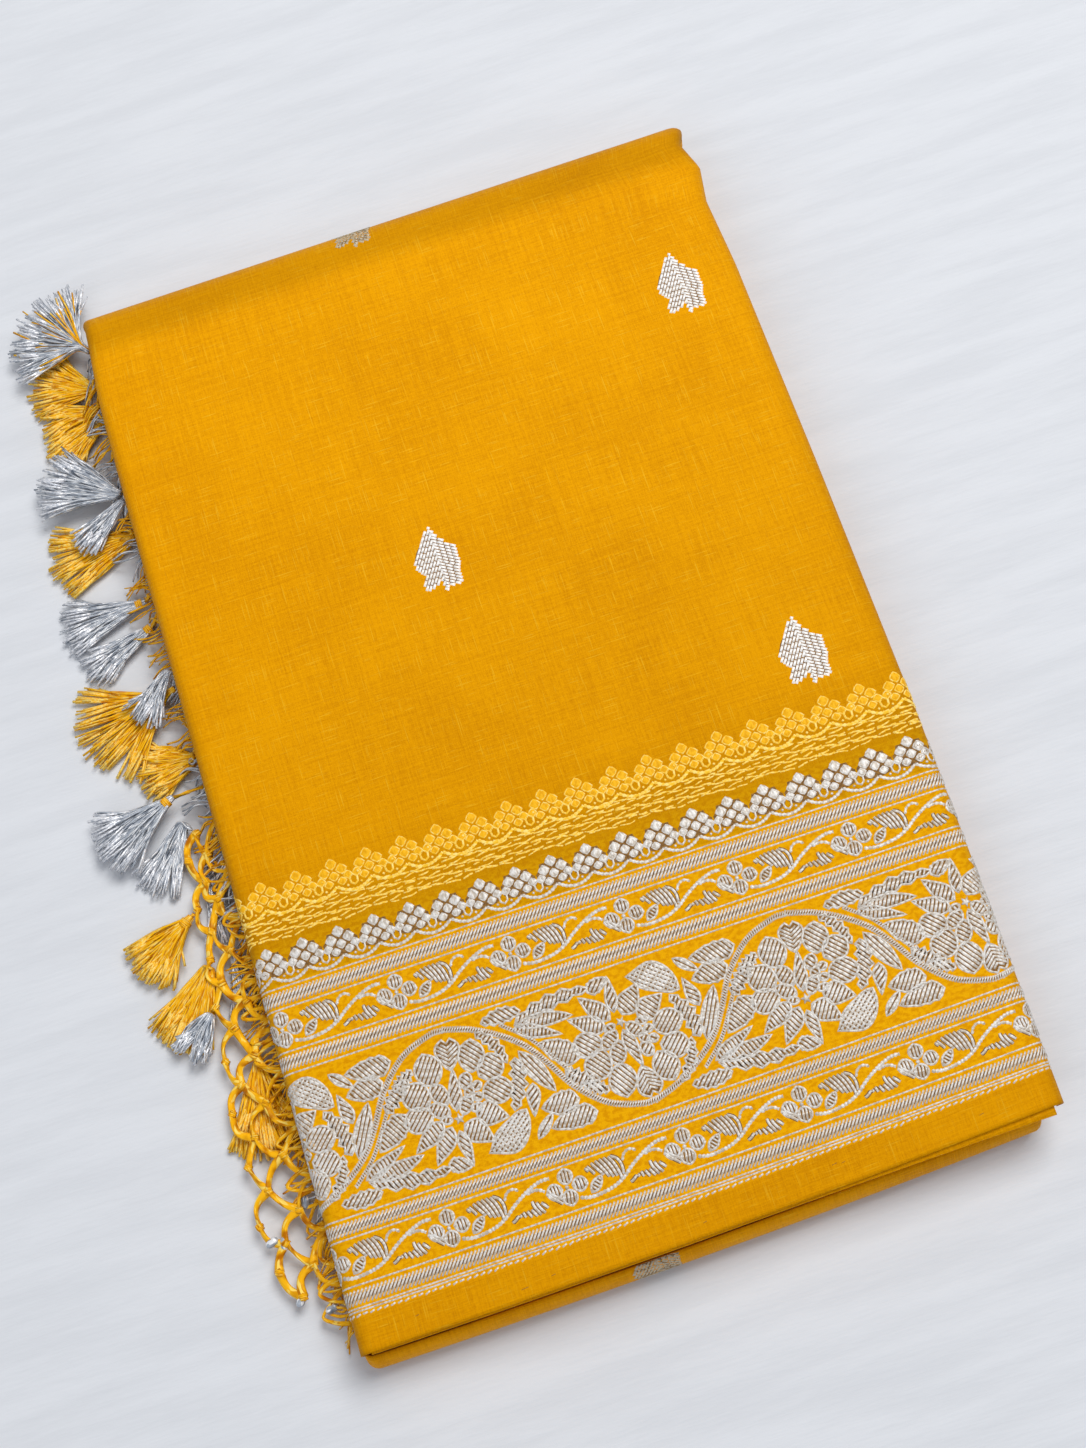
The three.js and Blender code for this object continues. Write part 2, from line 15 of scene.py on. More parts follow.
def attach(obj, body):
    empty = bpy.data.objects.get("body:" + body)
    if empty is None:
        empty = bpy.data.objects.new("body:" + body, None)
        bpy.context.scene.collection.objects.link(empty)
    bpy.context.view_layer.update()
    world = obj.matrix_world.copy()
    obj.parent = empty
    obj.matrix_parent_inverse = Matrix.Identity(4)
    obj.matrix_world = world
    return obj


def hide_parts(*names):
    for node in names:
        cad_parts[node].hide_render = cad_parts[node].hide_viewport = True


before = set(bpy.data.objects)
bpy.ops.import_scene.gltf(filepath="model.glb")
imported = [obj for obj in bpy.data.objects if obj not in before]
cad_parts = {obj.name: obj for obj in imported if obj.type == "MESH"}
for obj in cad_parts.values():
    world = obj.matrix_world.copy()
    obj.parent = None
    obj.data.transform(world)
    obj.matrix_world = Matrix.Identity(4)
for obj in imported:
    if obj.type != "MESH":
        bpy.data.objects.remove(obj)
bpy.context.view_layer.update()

MM = 0.001
TURN = 2 * math.pi

# The pack of folded cloth
HALF_WIDE = 114.5
HALF_LONG = 186.65
HIGH = 22.0
SIDE_FOLD = {"radius": 3.65, "turn": math.radians(130)}
TOP_FOLD = {"reach": 9.0, "half": 11.0, "y": 177.65}
LOW_FOLD = {"radius": 7.3, "turn": math.radians(150), "y": -183.65}
COVER = 1.5
SHELL = 0.7

# How far the side edges stand off a straight line, as (y, dx)
RIGHT_EDGE = [
    (-187, -0.6), (-120, 0.5), (-48, 1.7), (45, 1.3), (124, 0.3),
    (151, -1.2), (165, 1.1), (176, -2.5), (183, 0.3), (187, -1.6),
]
LEFT_EDGE = [
    (-187, -0.8), (-110, -0.4), (0, 0.2), (110, 0.6), (151, 1.0),
    (165, 2.1), (174, 2.8), (181, 3.2), (187, 0.6),
]
SKEW = {"start": 75, "ends": 2.6, "middle": 1.4}
SHORT_LOW_FOLD = {"by": 6.5, "from": 150, "to": 184, "high": -17, "low": -13.5}
# Powers by which the forms fade away from the top, the sides and each face
FADE = {"swell": 2, "side": 3, "crease": 8, "highest": 1.1}

# Soft humps (+) and troughs (-) of the top panel: x, y, wide, long, rise
SWELLS = [
    (96, 168, 16, 9, -1.1),
    (104, 140, 18, 20, 0.6),
    (-60, 70, 50, 70, 0.7),
    (45, -25, 45, 60, -0.8),
    (-80, -110, 36, 50, -0.5),
    (-38, -186, 20, 15, 0.8),
    (70, -150, 34, 34, 0.5),
]

# Creases: x, y, half length, half width, turn of the crease, rise
CREASES = [
    (-70, 168, 34, 3.2, 4, -0.35),
    (-8, 163, 30, 3.8, -3, 0.3),
    (48, 170, 30, 2.8, 6, -0.35),
    (86, 158, 16, 2.6, 38, 0.4),
    (98, 172, 12, 2.2, -28, -0.45),
    (101, 128, 22, 3.0, 82, -0.35),
    (-101, 150, 24, 3.0, 84, 0.3),
    (-104, 60, 30, 3.4, 92, -0.3),
    (-30, 110, 44, 5.0, 64, 0.22),
    (30, 88, 50, 4.2, 71, -0.2),
    (-66, 20, 40, 4.6, 77, -0.2),
    (72, 30, 44, 5.2, 68, 0.22),
    (4, -20, 36, 4.4, 12, 0.2),
    (102, -40, 34, 2.8, 88, -0.3),
    (-20, -60, 50, 3.6, 2, -0.18),
    (40, -180, 20, 2.2, 80, 0.22),
    (-74, -178, 16, 2.4, 104, -0.25),
]
# The same kind of creases on the underside only press upwards, off the table
UNDER_CREASES = [
    (-60, 120, 40, 4.0, 70, 0.35),
    (20, 60, 46, 4.4, 82, 0.3),
    (70, -40, 40, 3.6, 64, 0.35),
    (-40, -90, 44, 4.2, 96, 0.3),
]


def run_along(path):
    """Length of a path from its start to each of its points."""
    return np.concatenate([[0], np.cumsum(np.linalg.norm(np.diff(path, axis=0), axis=1))])


def unit(rows):
    """A vector, or each row of an array, at length 1."""
    return rows / np.maximum(np.linalg.norm(rows, axis=-1, keepdims=True), 1e-9)

TOP_LONG = TOP_FOLD["y"] + HALF_LONG
FOLD_STEPS = np.linspace(0, math.pi, 181)
FOLD_LINE = np.stack([
    TOP_FOLD["reach"] * np.sin(FOLD_STEPS),
    TOP_FOLD["half"] * (1 + np.cos(FOLD_STEPS)),
], axis=1)
FOLD_RUN = run_along(FOLD_LINE)
FOLD_LONG = float(FOLD_RUN[-1])
UNDER_START = TOP_LONG + FOLD_LONG
UNDER_LONG = TOP_FOLD["y"] - LOW_FOLD["y"]
LOW_START = UNDER_START + UNDER_LONG
CLOTH_END = LOW_START + LOW_FOLD["radius"] * LOW_FOLD["turn"]
FLAT_HALF = HALF_WIDE - SIDE_FOLD["radius"]
CLOTH_HALF = FLAT_HALF + SIDE_FOLD["radius"] * SIDE_FOLD["turn"]


def look_up(rows, y):
    ys, values = zip(*rows)
    return np.interp(y, ys, values)


def smoothstep(x, low, high):
    t = np.clip((x - low) / (high - low), 0, 1)
    return t * t * (3 - 2 * t)


def bumps(rows, x, y):
    """Height of the humps and creases in a table at places on a panel."""
    rise = np.zeros_like(x)
    for cx, cy, long, wide, turn, high in rows:
        c, s = math.cos(math.radians(turn)), math.sin(math.radians(turn))
        along = ((x - cx) * c + (y - cy) * s) / long
        across = (-(x - cx) * s + (y - cy) * c) / wide
        rise += high * np.exp(-0.5 * (along ** 2 + across ** 2))
    return rise


SWELL_ROWS = [(x, y, wide, long, 0, rise) for x, y, wide, long, rise in SWELLS]


def settle(points, creased=True):
    """Move points of the square stack to where the soft cloth really lies."""
    x, y, z = points[:, 0], points[:, 1], points[:, 2]
    side = np.clip(x / HALF_WIDE, -1, 1)
    edge = np.where(side > 0, look_up(RIGHT_EDGE, y), look_up(LEFT_EDGE, y))
    slope = np.clip((-SKEW["start"] - y) / (HALF_LONG - SKEW["start"]), 0, 1)
    low = smoothstep(-z, SHORT_LOW_FOLD["high"], SHORT_LOW_FOLD["low"])
    near = smoothstep(-y, SHORT_LOW_FOLD["from"], SHORT_LOW_FOLD["to"])
    pulled = np.where(side > 0, SHORT_LOW_FOLD["by"] * low * near, 0)
    height = z / HIGH
    rise = bumps(SWELL_ROWS, x, y) * height ** FADE["swell"]
    if creased:
        rise = rise + bumps(CREASES, x, y) * np.clip(height, 0, FADE["highest"]) ** FADE["crease"]
        rise = rise + bumps(UNDER_CREASES, x, y) * np.clip(1 - height, 0, 1) ** FADE["crease"]
    return np.stack([
        x + (edge - pulled) * np.abs(side) ** FADE["side"],
        y + slope * (SKEW["ends"] * side - SKEW["middle"] * (1 - side ** 2)),
        z + rise,
    ], axis=1)


def path_places(v):
    """Places (y, z) and outward ways of the outer layer's path, v along the cloth."""
    turn = np.interp(v - TOP_LONG, FOLD_RUN, FOLD_STEPS)
    low = np.clip((v - LOW_START) / LOW_FOLD["radius"], 0, None)
    on_top, on_fold, under = v < TOP_LONG, v < UNDER_START, v < LOW_START
    fold_out = np.stack([np.sin(turn) / TOP_FOLD["reach"], np.cos(turn) / TOP_FOLD["half"]])
    fold_out = unit(fold_out.T).T
    zero = np.zeros_like(v)
    cases = [on_top, on_fold, under]
    y = np.select(cases, [
        v - HALF_LONG,
        TOP_FOLD["y"] + TOP_FOLD["reach"] * np.sin(turn),
        TOP_FOLD["y"] - (v - UNDER_START),
    ], LOW_FOLD["y"] - LOW_FOLD["radius"] * np.sin(low))
    z = np.select(cases, [
        zero + HIGH,
        TOP_FOLD["half"] * (1 + np.cos(turn)),
        zero,
    ], LOW_FOLD["radius"] * (1 - np.cos(low)))
    out_y = np.select(cases, [zero, fold_out[0], zero], -np.sin(low))
    out_z = np.select(cases, [zero + 1, fold_out[1], zero - 1], -np.cos(low))
    return y, z, out_y, out_z


def on_cloth(flat, lift=0.0):
    """Places in space of flat places (u, v) on the outer layer, raised by lift."""
    flat = np.asarray(flat, float)
    u, v = flat[:, 0], flat[:, 1]
    y, z, out_y, out_z = path_places(v)
    turn = np.clip((np.abs(u) - FLAT_HALF) / SIDE_FOLD["radius"], 0, SIDE_FOLD["turn"])
    radius = SIDE_FOLD["radius"] + lift
    x = np.where(turn > 0, np.sign(u) * (FLAT_HALF + radius * np.sin(turn)), u)
    inward = radius * (1 - np.cos(turn)) - lift
    return settle(np.stack([x, y - out_y * inward, z - out_z * inward], axis=1))


SCATTER = {"i": 12.9898, "k": 78.233, "size": 43758.5453}


def shake(i, k=0):
    """An even, repeatable scatter between -1 and 1."""
    wave = math.sin(i * SCATTER["i"] + k * SCATTER["k"]) * SCATTER["size"]
    return 2 * (wave - math.floor(wave)) - 1


def spread(row, i, k):
    """A number about row's first value, scattered by its second."""
    return row[0] + row[1] * shake(i, k)


def way_of(angle, rise=0.0):
    """The level way at an angle in radians, with a rise."""
    return np.array([math.cos(angle), math.sin(angle), rise])


class Pile:
    """Gathers the points, faces, thread places and paints of one piece."""

    def __init__(self):
        self.points, self.faces, self.places, self.paints, self.count = [], [], [], [], 0

    def add(self, points, faces, places, paint=0):
        self.points.append(points)
        self.places.append(places)
        self.faces.extend((np.asarray(faces) + self.count).tolist())
        self.paints.extend([paint] * len(faces))
        self.count += len(points)

    def piece(self, name, materials, slot):
        mesh = bpy.data.meshes.new(name)
        mesh.from_pydata((np.concatenate(self.points) * MM).tolist(), [], self.faces)
        corners = np.empty(len(mesh.loops), dtype=np.int32)
        mesh.loops.foreach_get("vertex_index", corners)
        layer = mesh.uv_layers.new(name="flat")
        layer.data.foreach_set("uv", np.concatenate(self.places)[corners].astype(np.float32).ravel())
        mesh.polygons.foreach_set("use_smooth", [True] * len(mesh.polygons))
        for material in materials:
            mesh.materials.append(material)
        mesh.polygons.foreach_set("material_index", self.paints)
        mesh.update()
        piece = bpy.data.objects.new(name, mesh)
        bpy.context.collection.objects.link(piece)
        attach(piece, "root")
        return piece


def grid_faces(rows, columns, flip=False, start=0):
    """Four-sided faces of a grid of points, rows by columns."""
    r, c = np.meshgrid(np.arange(rows - 1), np.arange(columns - 1), indexing="ij")
    a = start + (r * columns + c).ravel()
    quads = np.stack([a, a + 1, a + columns + 1, a + columns], axis=1)
    return quads[:, ::-1] if flip else quads


def closed_faces(rows, wide):
    """Faces of a closed sheet: a grid of points, the same grid below it, and a rim."""
    under = rows * wide
    edge = np.concatenate([
        np.arange(wide),
        np.arange(1, rows) * wide + wide - 1,
        (rows - 1) * wide + np.arange(wide - 2, -1, -1),
        np.arange(rows - 2, 0, -1) * wide,
    ])
    after = np.roll(edge, -1)
    rim = np.stack([edge, edge + under, after + under, after], axis=1)
    return np.concatenate([grid_faces(rows, wide), grid_faces(rows, wide, flip=True, start=under), rim])


def level_places(x, y, z):
    """Places in space of a level grid of points, where the soft stack carries them."""
    return settle(np.stack([x.ravel(), y.ravel(), np.full(x.size, z)], axis=1), creased=False)


# Camera of the photograph: place in mm, way it looks, way up, and lens in mm
CAMERA = {
    "place": (-7.88, -240.72, 710.66),
    "view": (0.00973, 0.31071, -0.95045),
    "up": (0.31585, 0.90088, 0.29774),
    "lens": 54.70,
}


def make_camera():
    data = bpy.data.cameras.new("photo_camera")
    data.lens = CAMERA["lens"]
    camera = bpy.data.objects.new("photo_camera", data)
    bpy.context.collection.objects.link(camera)
    back = -Vector(CAMERA["view"]).normalized()
    right = Vector(CAMERA["up"]).cross(back).normalized()
    up = back.cross(right)
    turned = Matrix((right, up, back)).transposed().to_4x4()
    camera.matrix_world = Matrix.Translation(Vector(CAMERA["place"]) * MM) @ turned
    bpy.context.scene.camera = camera


class Paint:
    """A node material: plain values go on the shader, patterns are linked to it."""

    def __init__(self, name, **values):
        self.material = bpy.data.materials.new(name)
        self.material.use_nodes = True
        self.tree = self.material.node_tree
        self.shader = self.tree.nodes["Principled BSDF"]
        for key, value in values.items():
            self.shader.inputs[key.replace("_", " ")].default_value = value
        flat = self.node("ShaderNodeUVMap", {"uv_map": "flat"})
        self.flat = flat.outputs[0]

    def node(self, kind, settings=None, inputs=None):
        node = self.tree.nodes.new(kind)
        for key, value in (settings or {}).items():
            setattr(node, key, value)
        for key, value in (inputs or {}).items():
            if isinstance(value, bpy.types.NodeSocket):
                self.tree.links.new(value, node.inputs[key])
            else:
                node.inputs[key].default_value = value
        return node

    def noise(self, across, along, detail=2.0, place=(0, 0, 0)):
        """Noise over the flat places in mm, with a scale each way."""
        mapped = self.node("ShaderNodeMapping", None, {
            "Vector": self.flat, "Scale": (across, along, 1), "Location": place,
        }).outputs[0]
        return self.node("ShaderNodeTexNoise", None, {
            "Vector": mapped, "Scale": 1.0, "Detail": detail,
        }).outputs[0]

    def math(self, operation, a, b):
        return self.node("ShaderNodeMath", {"operation": operation}, {0: a, 1: b}).outputs[0]

    def span(self, value, low, high, to_low=0.0, to_high=1.0, soft=True):
        return self.node("ShaderNodeMapRange", {
            "interpolation_type": "SMOOTHSTEP" if soft else "LINEAR",
        }, {
            "Value": value, "From Min": low, "From Max": high, "To Min": to_low, "To Max": to_high,
        }).outputs[0]

    def mix(self, factor, a, b, blend="MIX"):
        a, b = ((*tone, 1) if isinstance(tone, tuple) else tone for tone in (a, b))
        settings = {"data_type": "RGBA", "blend_type": blend}
        return self.node("ShaderNodeMix", settings, {0: factor, 6: a, 7: b}).outputs[2]

    def color(self, socket):
        self.tree.links.new(socket, self.shader.inputs["Base Color"])
        return self

    def bump(self, height, strength, distance):
        bump = self.node("ShaderNodeBump", None, {
            "Height": height, "Strength": strength, "Distance": distance,
        })
        self.tree.links.new(bump.outputs[0], self.shader.inputs["Normal"])
        return self


THREAD_BUMP = 0.0004
SILK = {
    "dark": (0.69, 0.262, 0.0006),
    "light": (0.89, 0.378, 0.001),
    "border": (0.96, 0.455, 0.002),
    "border_dark": (0.80, 0.33, 0.001),
    "shade": (0.60, 0.60, 0.60),
    "slub": (1.0, 0.60, 0.03),
}
# Threads of the silk as noise: scale across, scale along, detail, start
SILK_NOISE = {
    "weft": (0.035, 1.5),
    "warp": (1.5, 0.03, 2.0, (7.3, 2.1, 0)),
    "fine_weft": (0.45, 3.4, 1.0),
    "fine_warp": (3.4, 0.45, 1.0, (3.1, 9.4, 0)),
    "cloud": (0.018, 0.018, 3.0),
    "slub": (0.11, 2.4, 0.0, (1.0, 5.0, 0)),
    "long_slub": (2.4, 0.08, 0.0, (6.0, 2.0, 0)),
}
SILK_MIX = {"weave": 0.9, "cloud": 1.1, "tones": (1.95, 2.75), "slubs": (0.71, 0.79, 0.0, 0.36)}
SILK_RELIEF = {"streaks": 0.35, "strength": 0.35}
BORDER_MOTTLE = {"noise": (0.55, 0.8, 3.0, (4.0, 8.0, 0)), "span": (0.36, 0.6)}
# The border's ground, the darker hem strip, and painted shade where the satin side looks darker in this
# light: over the upper border rows, above the border fading upwards, and along the top fold. From, to,
# share there and there
BORDER = {"low": 11.0, "high": 130.0, "soft": 0.6}
HEM = (BORDER["low"] - BORDER["soft"], BORDER["low"] + BORDER["soft"])
SHADES = {
    "ground_low": (*HEM, 0.0, 1.0),
    "ground_high": (BORDER["high"] - 4, BORDER["high"] + 2, 1.0, 0.0),
    "hem": (*HEM, 0.42, 0.0),
    "row_low": (114.8, 115.8, 0.0, 0.5),
    "row_high": (128, 160, 1.0, 0.0),
    "upper": (120, 340, 0.3, 0.0),
    "fold": (TOP_LONG - 14, TOP_LONG - 3, 0.0, 0.55),
}
# Painted shade round the side folds, where the cloth turns from the light: from, to, share there and there
SIDE_SHADE = (FLAT_HALF - 3, FLAT_HALF + 5, 0.0, 0.5)


def silk(name, bordered):
    """Mustard silk: uneven weft and warp threads, a fine weave and soft cloudiness."""
    paint = Paint(
        name, Roughness=0.55, Specular_IOR_Level=0.12, Specular_Tint=(1, 0.66, 0.08, 1),
        Sheen_Weight=0.12, Sheen_Roughness=0.35, Sheen_Tint=(1, 0.62, 0.06, 1),
    )
    noise = {key: paint.noise(*row) for key, row in SILK_NOISE.items()}
    streaks = paint.math("ADD", noise["weft"], noise["warp"])
    weave = paint.math("ADD", noise["fine_weft"], noise["fine_warp"])
    tone = paint.math("ADD", streaks, paint.math("MULTIPLY", weave, SILK_MIX["weave"]))
    tone = paint.math("ADD", tone, paint.math("MULTIPLY", noise["cloud"], SILK_MIX["cloud"]))
    body = paint.mix(paint.span(tone, *SILK_MIX["tones"], soft=False), SILK["dark"], SILK["light"])
    slubs = paint.math("MAXIMUM", noise["slub"], noise["long_slub"])
    body = paint.mix(paint.span(slubs, *SILK_MIX["slubs"]), body, SILK["slub"])
    if bordered:
        split = paint.node("ShaderNodeSeparateXYZ", None, {0: paint.flat})
        spans = {key: paint.span(split.outputs[1], *row) for key, row in SHADES.items()}
        ground = paint.math("MULTIPLY", spans["ground_low"], spans["ground_high"])
        mottle = paint.span(paint.noise(*BORDER_MOTTLE["noise"]), *BORDER_MOTTLE["span"])
        body = paint.mix(ground, body, paint.mix(mottle, SILK["border_dark"], SILK["border"]))
        # Painted shade over the upper border rows, along the top fold, above the border and round the side
        # folds, and the hem strip made darker, all multiplied in
        row = paint.math("MULTIPLY", spans["row_low"], spans["row_high"])
        along = paint.math("ADD", paint.math("ADD", spans["fold"], row),
                           paint.math("MAXIMUM", spans["hem"], spans["upper"]))
        side = paint.span(paint.math("ABSOLUTE", split.outputs[0], 0.0), *SIDE_SHADE)
        body = paint.mix(paint.math("ADD", along, side), body, SILK["shade"], "MULTIPLY")
    paint.color(body)
    height = paint.math("ADD", weave, paint.math("MULTIPLY", streaks, SILK_RELIEF["streaks"]))
    return paint.bump(height, SILK_RELIEF["strength"], THREAD_BUMP).material


BEADING = {"noise": (0.9, 0.5, 1.0), "tones": (0.35, 0.6), "relief": 0.5, "gloss": 0.35}
SPINNING = {
    "slow": (0.22, 0.3, 1.0), "quick": (0.3, 0.9, 0.0, (3.0, 1.0, 0)), "tones": (0.28, 0.56), "edge": 0.08,
    "strands": (0.4, 2.2, 1.0), "relief": 0.45, "gloss": 0.3,
}


def metal_thread(name, light, dark, metallic, roughness, tint):
    """Wound thread: small beads along each stitch, some brighter than others."""
    paint = Paint(name, Metallic=metallic, Roughness=roughness)
    if tint:
        paint.shader.inputs["Specular Tint"].default_value = (*tint, 1)
        paint.shader.inputs["Specular IOR Level"].default_value = BEADING["gloss"]
    beads = paint.noise(*BEADING["noise"])
    paint.color(paint.mix(paint.span(beads, *BEADING["tones"]), dark, light))
    return paint.bump(beads, BEADING["relief"], THREAD_BUMP).material


def spun_thread(name, dark, light, glint, share, metallic, roughness, tint):
    """Tassel and net thread: slow changes of tone along it and short bright glints."""
    paint = Paint(name, Metallic=metallic, Roughness=roughness, Specular_IOR_Level=SPINNING["gloss"],
                  Specular_Tint=(*tint, 1))
    slow, quick = paint.noise(*SPINNING["slow"]), paint.noise(*SPINNING["quick"])
    body = paint.mix(paint.span(slow, *SPINNING["tones"]), dark, light)
    glints = paint.span(quick, 1 - share, 1 - share + SPINNING["edge"])
    paint.color(paint.mix(glints, body, glint))
    return paint.bump(paint.noise(*SPINNING["strands"]), SPINNING["relief"], THREAD_BUMP).material


def mottled(name, scales, span, dark, light, **values):
    """A matt material that wavers between two tones."""
    paint = Paint(name, **values)
    return paint.color(paint.mix(paint.span(paint.noise(*scales), *span), dark, light)).material


WARM = (1.0, 0.72, 0.2)
WHITE = (1.0, 1.0, 1.0)
# Wound threads: name, light tone, dark tone, metallic, roughness, tint of the gloss
METAL_THREADS = {
    "silver": ("silver_thread", (0.70, 0.67, 0.63), (0.47, 0.40, 0.32), 0.12, 0.42, None),
    "bright": ("white_thread", (0.97, 0.95, 0.92), (0.86, 0.82, 0.76), 0.06, 0.42, None),
    "yellow": ("yellow_thread", (1.0, 0.76, 0.22), (0.95, 0.55, 0.03), 0.0, 0.4, WARM),
    "amber": ("amber_thread", (0.93, 0.48, 0.012), (0.78, 0.36, 0.004), 0.0, 0.5, WARM),
    # The white thread painted darker: painted shade for motifs on the folds, where the cloth turns from the
    # light
    "shaded_white": ("shaded_white_thread", (0.58, 0.50, 0.36), (0.26, 0.18, 0.07), 0.1, 0.5, None),
    "gold_tip": ("gold_tip", (1.0, 0.74, 0.2), (1.0, 0.52, 0.02), 0.0, 0.4, WARM),
    "steel_tip": ("silver_tip", (0.98, 0.98, 1.0), (0.55, 0.58, 0.64), 0.2, 0.3, None),
}
# Spun threads: name, dark tone, light tone, glint, its share, metallic, roughness, tint
SPUN_THREADS = {
    "cord": ("cord_thread", (0.50, 0.15, 0.001), (1.0, 0.50, 0.008), (1.0, 0.72, 0.14), 0.42, 0.0, 0.26,
             WARM),
    "gold": ("gold_tassel_thread", (0.70, 0.25, 0.001), (1.0, 0.54, 0.01), (1.0, 0.76, 0.20), 0.43, 0.0,
             0.32, WARM),
    "steel": ("silver_tassel_thread", (0.13, 0.155, 0.20), (0.50, 0.54, 0.60), WHITE, 0.47, 0.3, 0.3,
              WHITE),
}


def build_materials():
    paints = {key: metal_thread(*row) for key, row in METAL_THREADS.items()}
    paints.update((key, spun_thread(*row)) for key, row in SPUN_THREADS.items())
    paints["panel"] = silk("silk_panel", True)
    paints["plain"] = silk("silk_plain", False)
    paints["ground"] = mottled("stitch_ground", (1.2, 1.2), (0.35, 0.65), (0.15, 0.065, 0.009),
                               (0.30, 0.14, 0.018), Roughness=0.8)
    # The packed layers' sides: the same silk painted darker, as painted shade on the stack's sides, in
    # streaks of tone along the layers
    paints["inside"] = mottled("packed_layers", (0.8, 0.03), (0.3, 0.7), (0.34, 0.13, 0.002),
                               (0.72, 0.31, 0.005), Roughness=0.7, Sheen_Weight=0.2)
    return paints


# Points of the two sheets: spacing across, points round a side fold, and rows of each part
UPPER_GRID = {"step": 1.85, "bend": 9, "hem": 12, "hem_rows": 9, "rows": 190, "fold_rows": 11}
UNDER_GRID = {"step": 2.6, "bend": 8, "rows": 120, "low_rows": 15}
SEAM = 0.25


def sheet_columns(grid):
    """Flat places u across a sheet: level, then round both side folds."""
    level = np.linspace(-FLAT_HALF, FLAT_HALF, round(2 * FLAT_HALF / grid["step"]) + 1)
    bend = np.linspace(FLAT_HALF, CLOTH_HALF, grid["bend"] + 1)[1:]
    return np.concatenate([-bend[::-1], level, bend])


def sheet_shell(name, us, vs, material):
    """Thin closed cloth over flat places, with the outer face on the cloth's path."""
    u, v = np.meshgrid(us, vs)
    flat = np.stack([u.ravel(), v.ravel()], axis=1)
    pile = Pile()
    pile.add(
        np.concatenate([on_cloth(flat), on_cloth(flat, -SHELL)]),
        closed_faces(len(vs), len(us)),
        np.concatenate([flat, flat]),
    )
    return pile.piece(name, [material], "cloth")


def build_sheets(paints):
    """The outer sheet in its upper and its lower stretch, split inside the top fold."""
    middle = TOP_LONG + FOLD_LONG / 2
    top_rows = np.concatenate([
        np.linspace(0, UPPER_GRID["hem"], UPPER_GRID["hem_rows"])[:-1],
        np.linspace(UPPER_GRID["hem"], TOP_LONG, UPPER_GRID["rows"]),
        np.linspace(TOP_LONG, middle - SEAM, UPPER_GRID["fold_rows"])[1:],
    ])
    upper = sheet_shell("upper_panel", sheet_columns(UPPER_GRID), top_rows, paints["panel"])
    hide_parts("upper_stretch")
    under_rows = np.concatenate([
        np.linspace(middle + SEAM, UNDER_START, UPPER_GRID["fold_rows"])[:-1],
        np.linspace(UNDER_START, LOW_START, UNDER_GRID["rows"]),
        np.linspace(LOW_START, CLOTH_END, UNDER_GRID["low_rows"])[1:],
    ])
    under = sheet_shell("under_panel", sheet_columns(UNDER_GRID), under_rows, paints["plain"])
    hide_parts("under_stretch")
    return upper, under


SECOND = {"past": 0.5, "right": 2.1, "back": -170.3, "thick": 0.8, "columns": 91, "rows": 9}


def build_second(paints):
    """The second layer, a sliver of which shows under the hem."""
    us = np.linspace(-FLAT_HALF, FLAT_HALF, SECOND["columns"])
    ys = np.linspace(-HALF_LONG - SECOND["past"], SECOND["back"], SECOND["rows"])
    u, y = np.meshgrid(us, ys)
    shown = np.where(y < -HALF_LONG, SECOND["right"] * np.clip(u / FLAT_HALF, 0, 1) ** 2, 0)
    levels = [level_places(u, y - shown, HIGH - COVER - deep) for deep in (0, SECOND["thick"])]
    flat = np.stack([u.ravel(), y.ravel()], axis=1)
    pile = Pile()
    pile.add(np.concatenate(levels), closed_faces(len(ys), len(us)), np.concatenate([flat, flat]))
    second = pile.piece("second_layer", [paints["plain"]], "cloth")
    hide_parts("second_sheet")
    return second


LIGHTS = [
    # name, place in metres, size, watts, colour
    ("key", (0.9, 0.7, 2.3), 1.3, 50, (1.0, 0.99, 0.97)),
    ("fill", (-1.2, -0.9, 1.8), 1.8, 8, (0.94, 0.96, 1.0)),
]
ROOM = {"tint": (0.86, 0.91, 1.0, 1), "strength": 0.36}
# Pale table cloth: in metres, with long slanted ripples and a weave in them
FLOOR = {"low": -0.0002, "half": 4.0, "tone": ((0.675, 0.69, 0.72), (0.725, 0.74, 0.77))}
RIPPLES = {"turn": 18, "scale": (14, 120, 1), "weave": 9.0, "weave_share": 0.25, "span": (0.4, 0.85)}


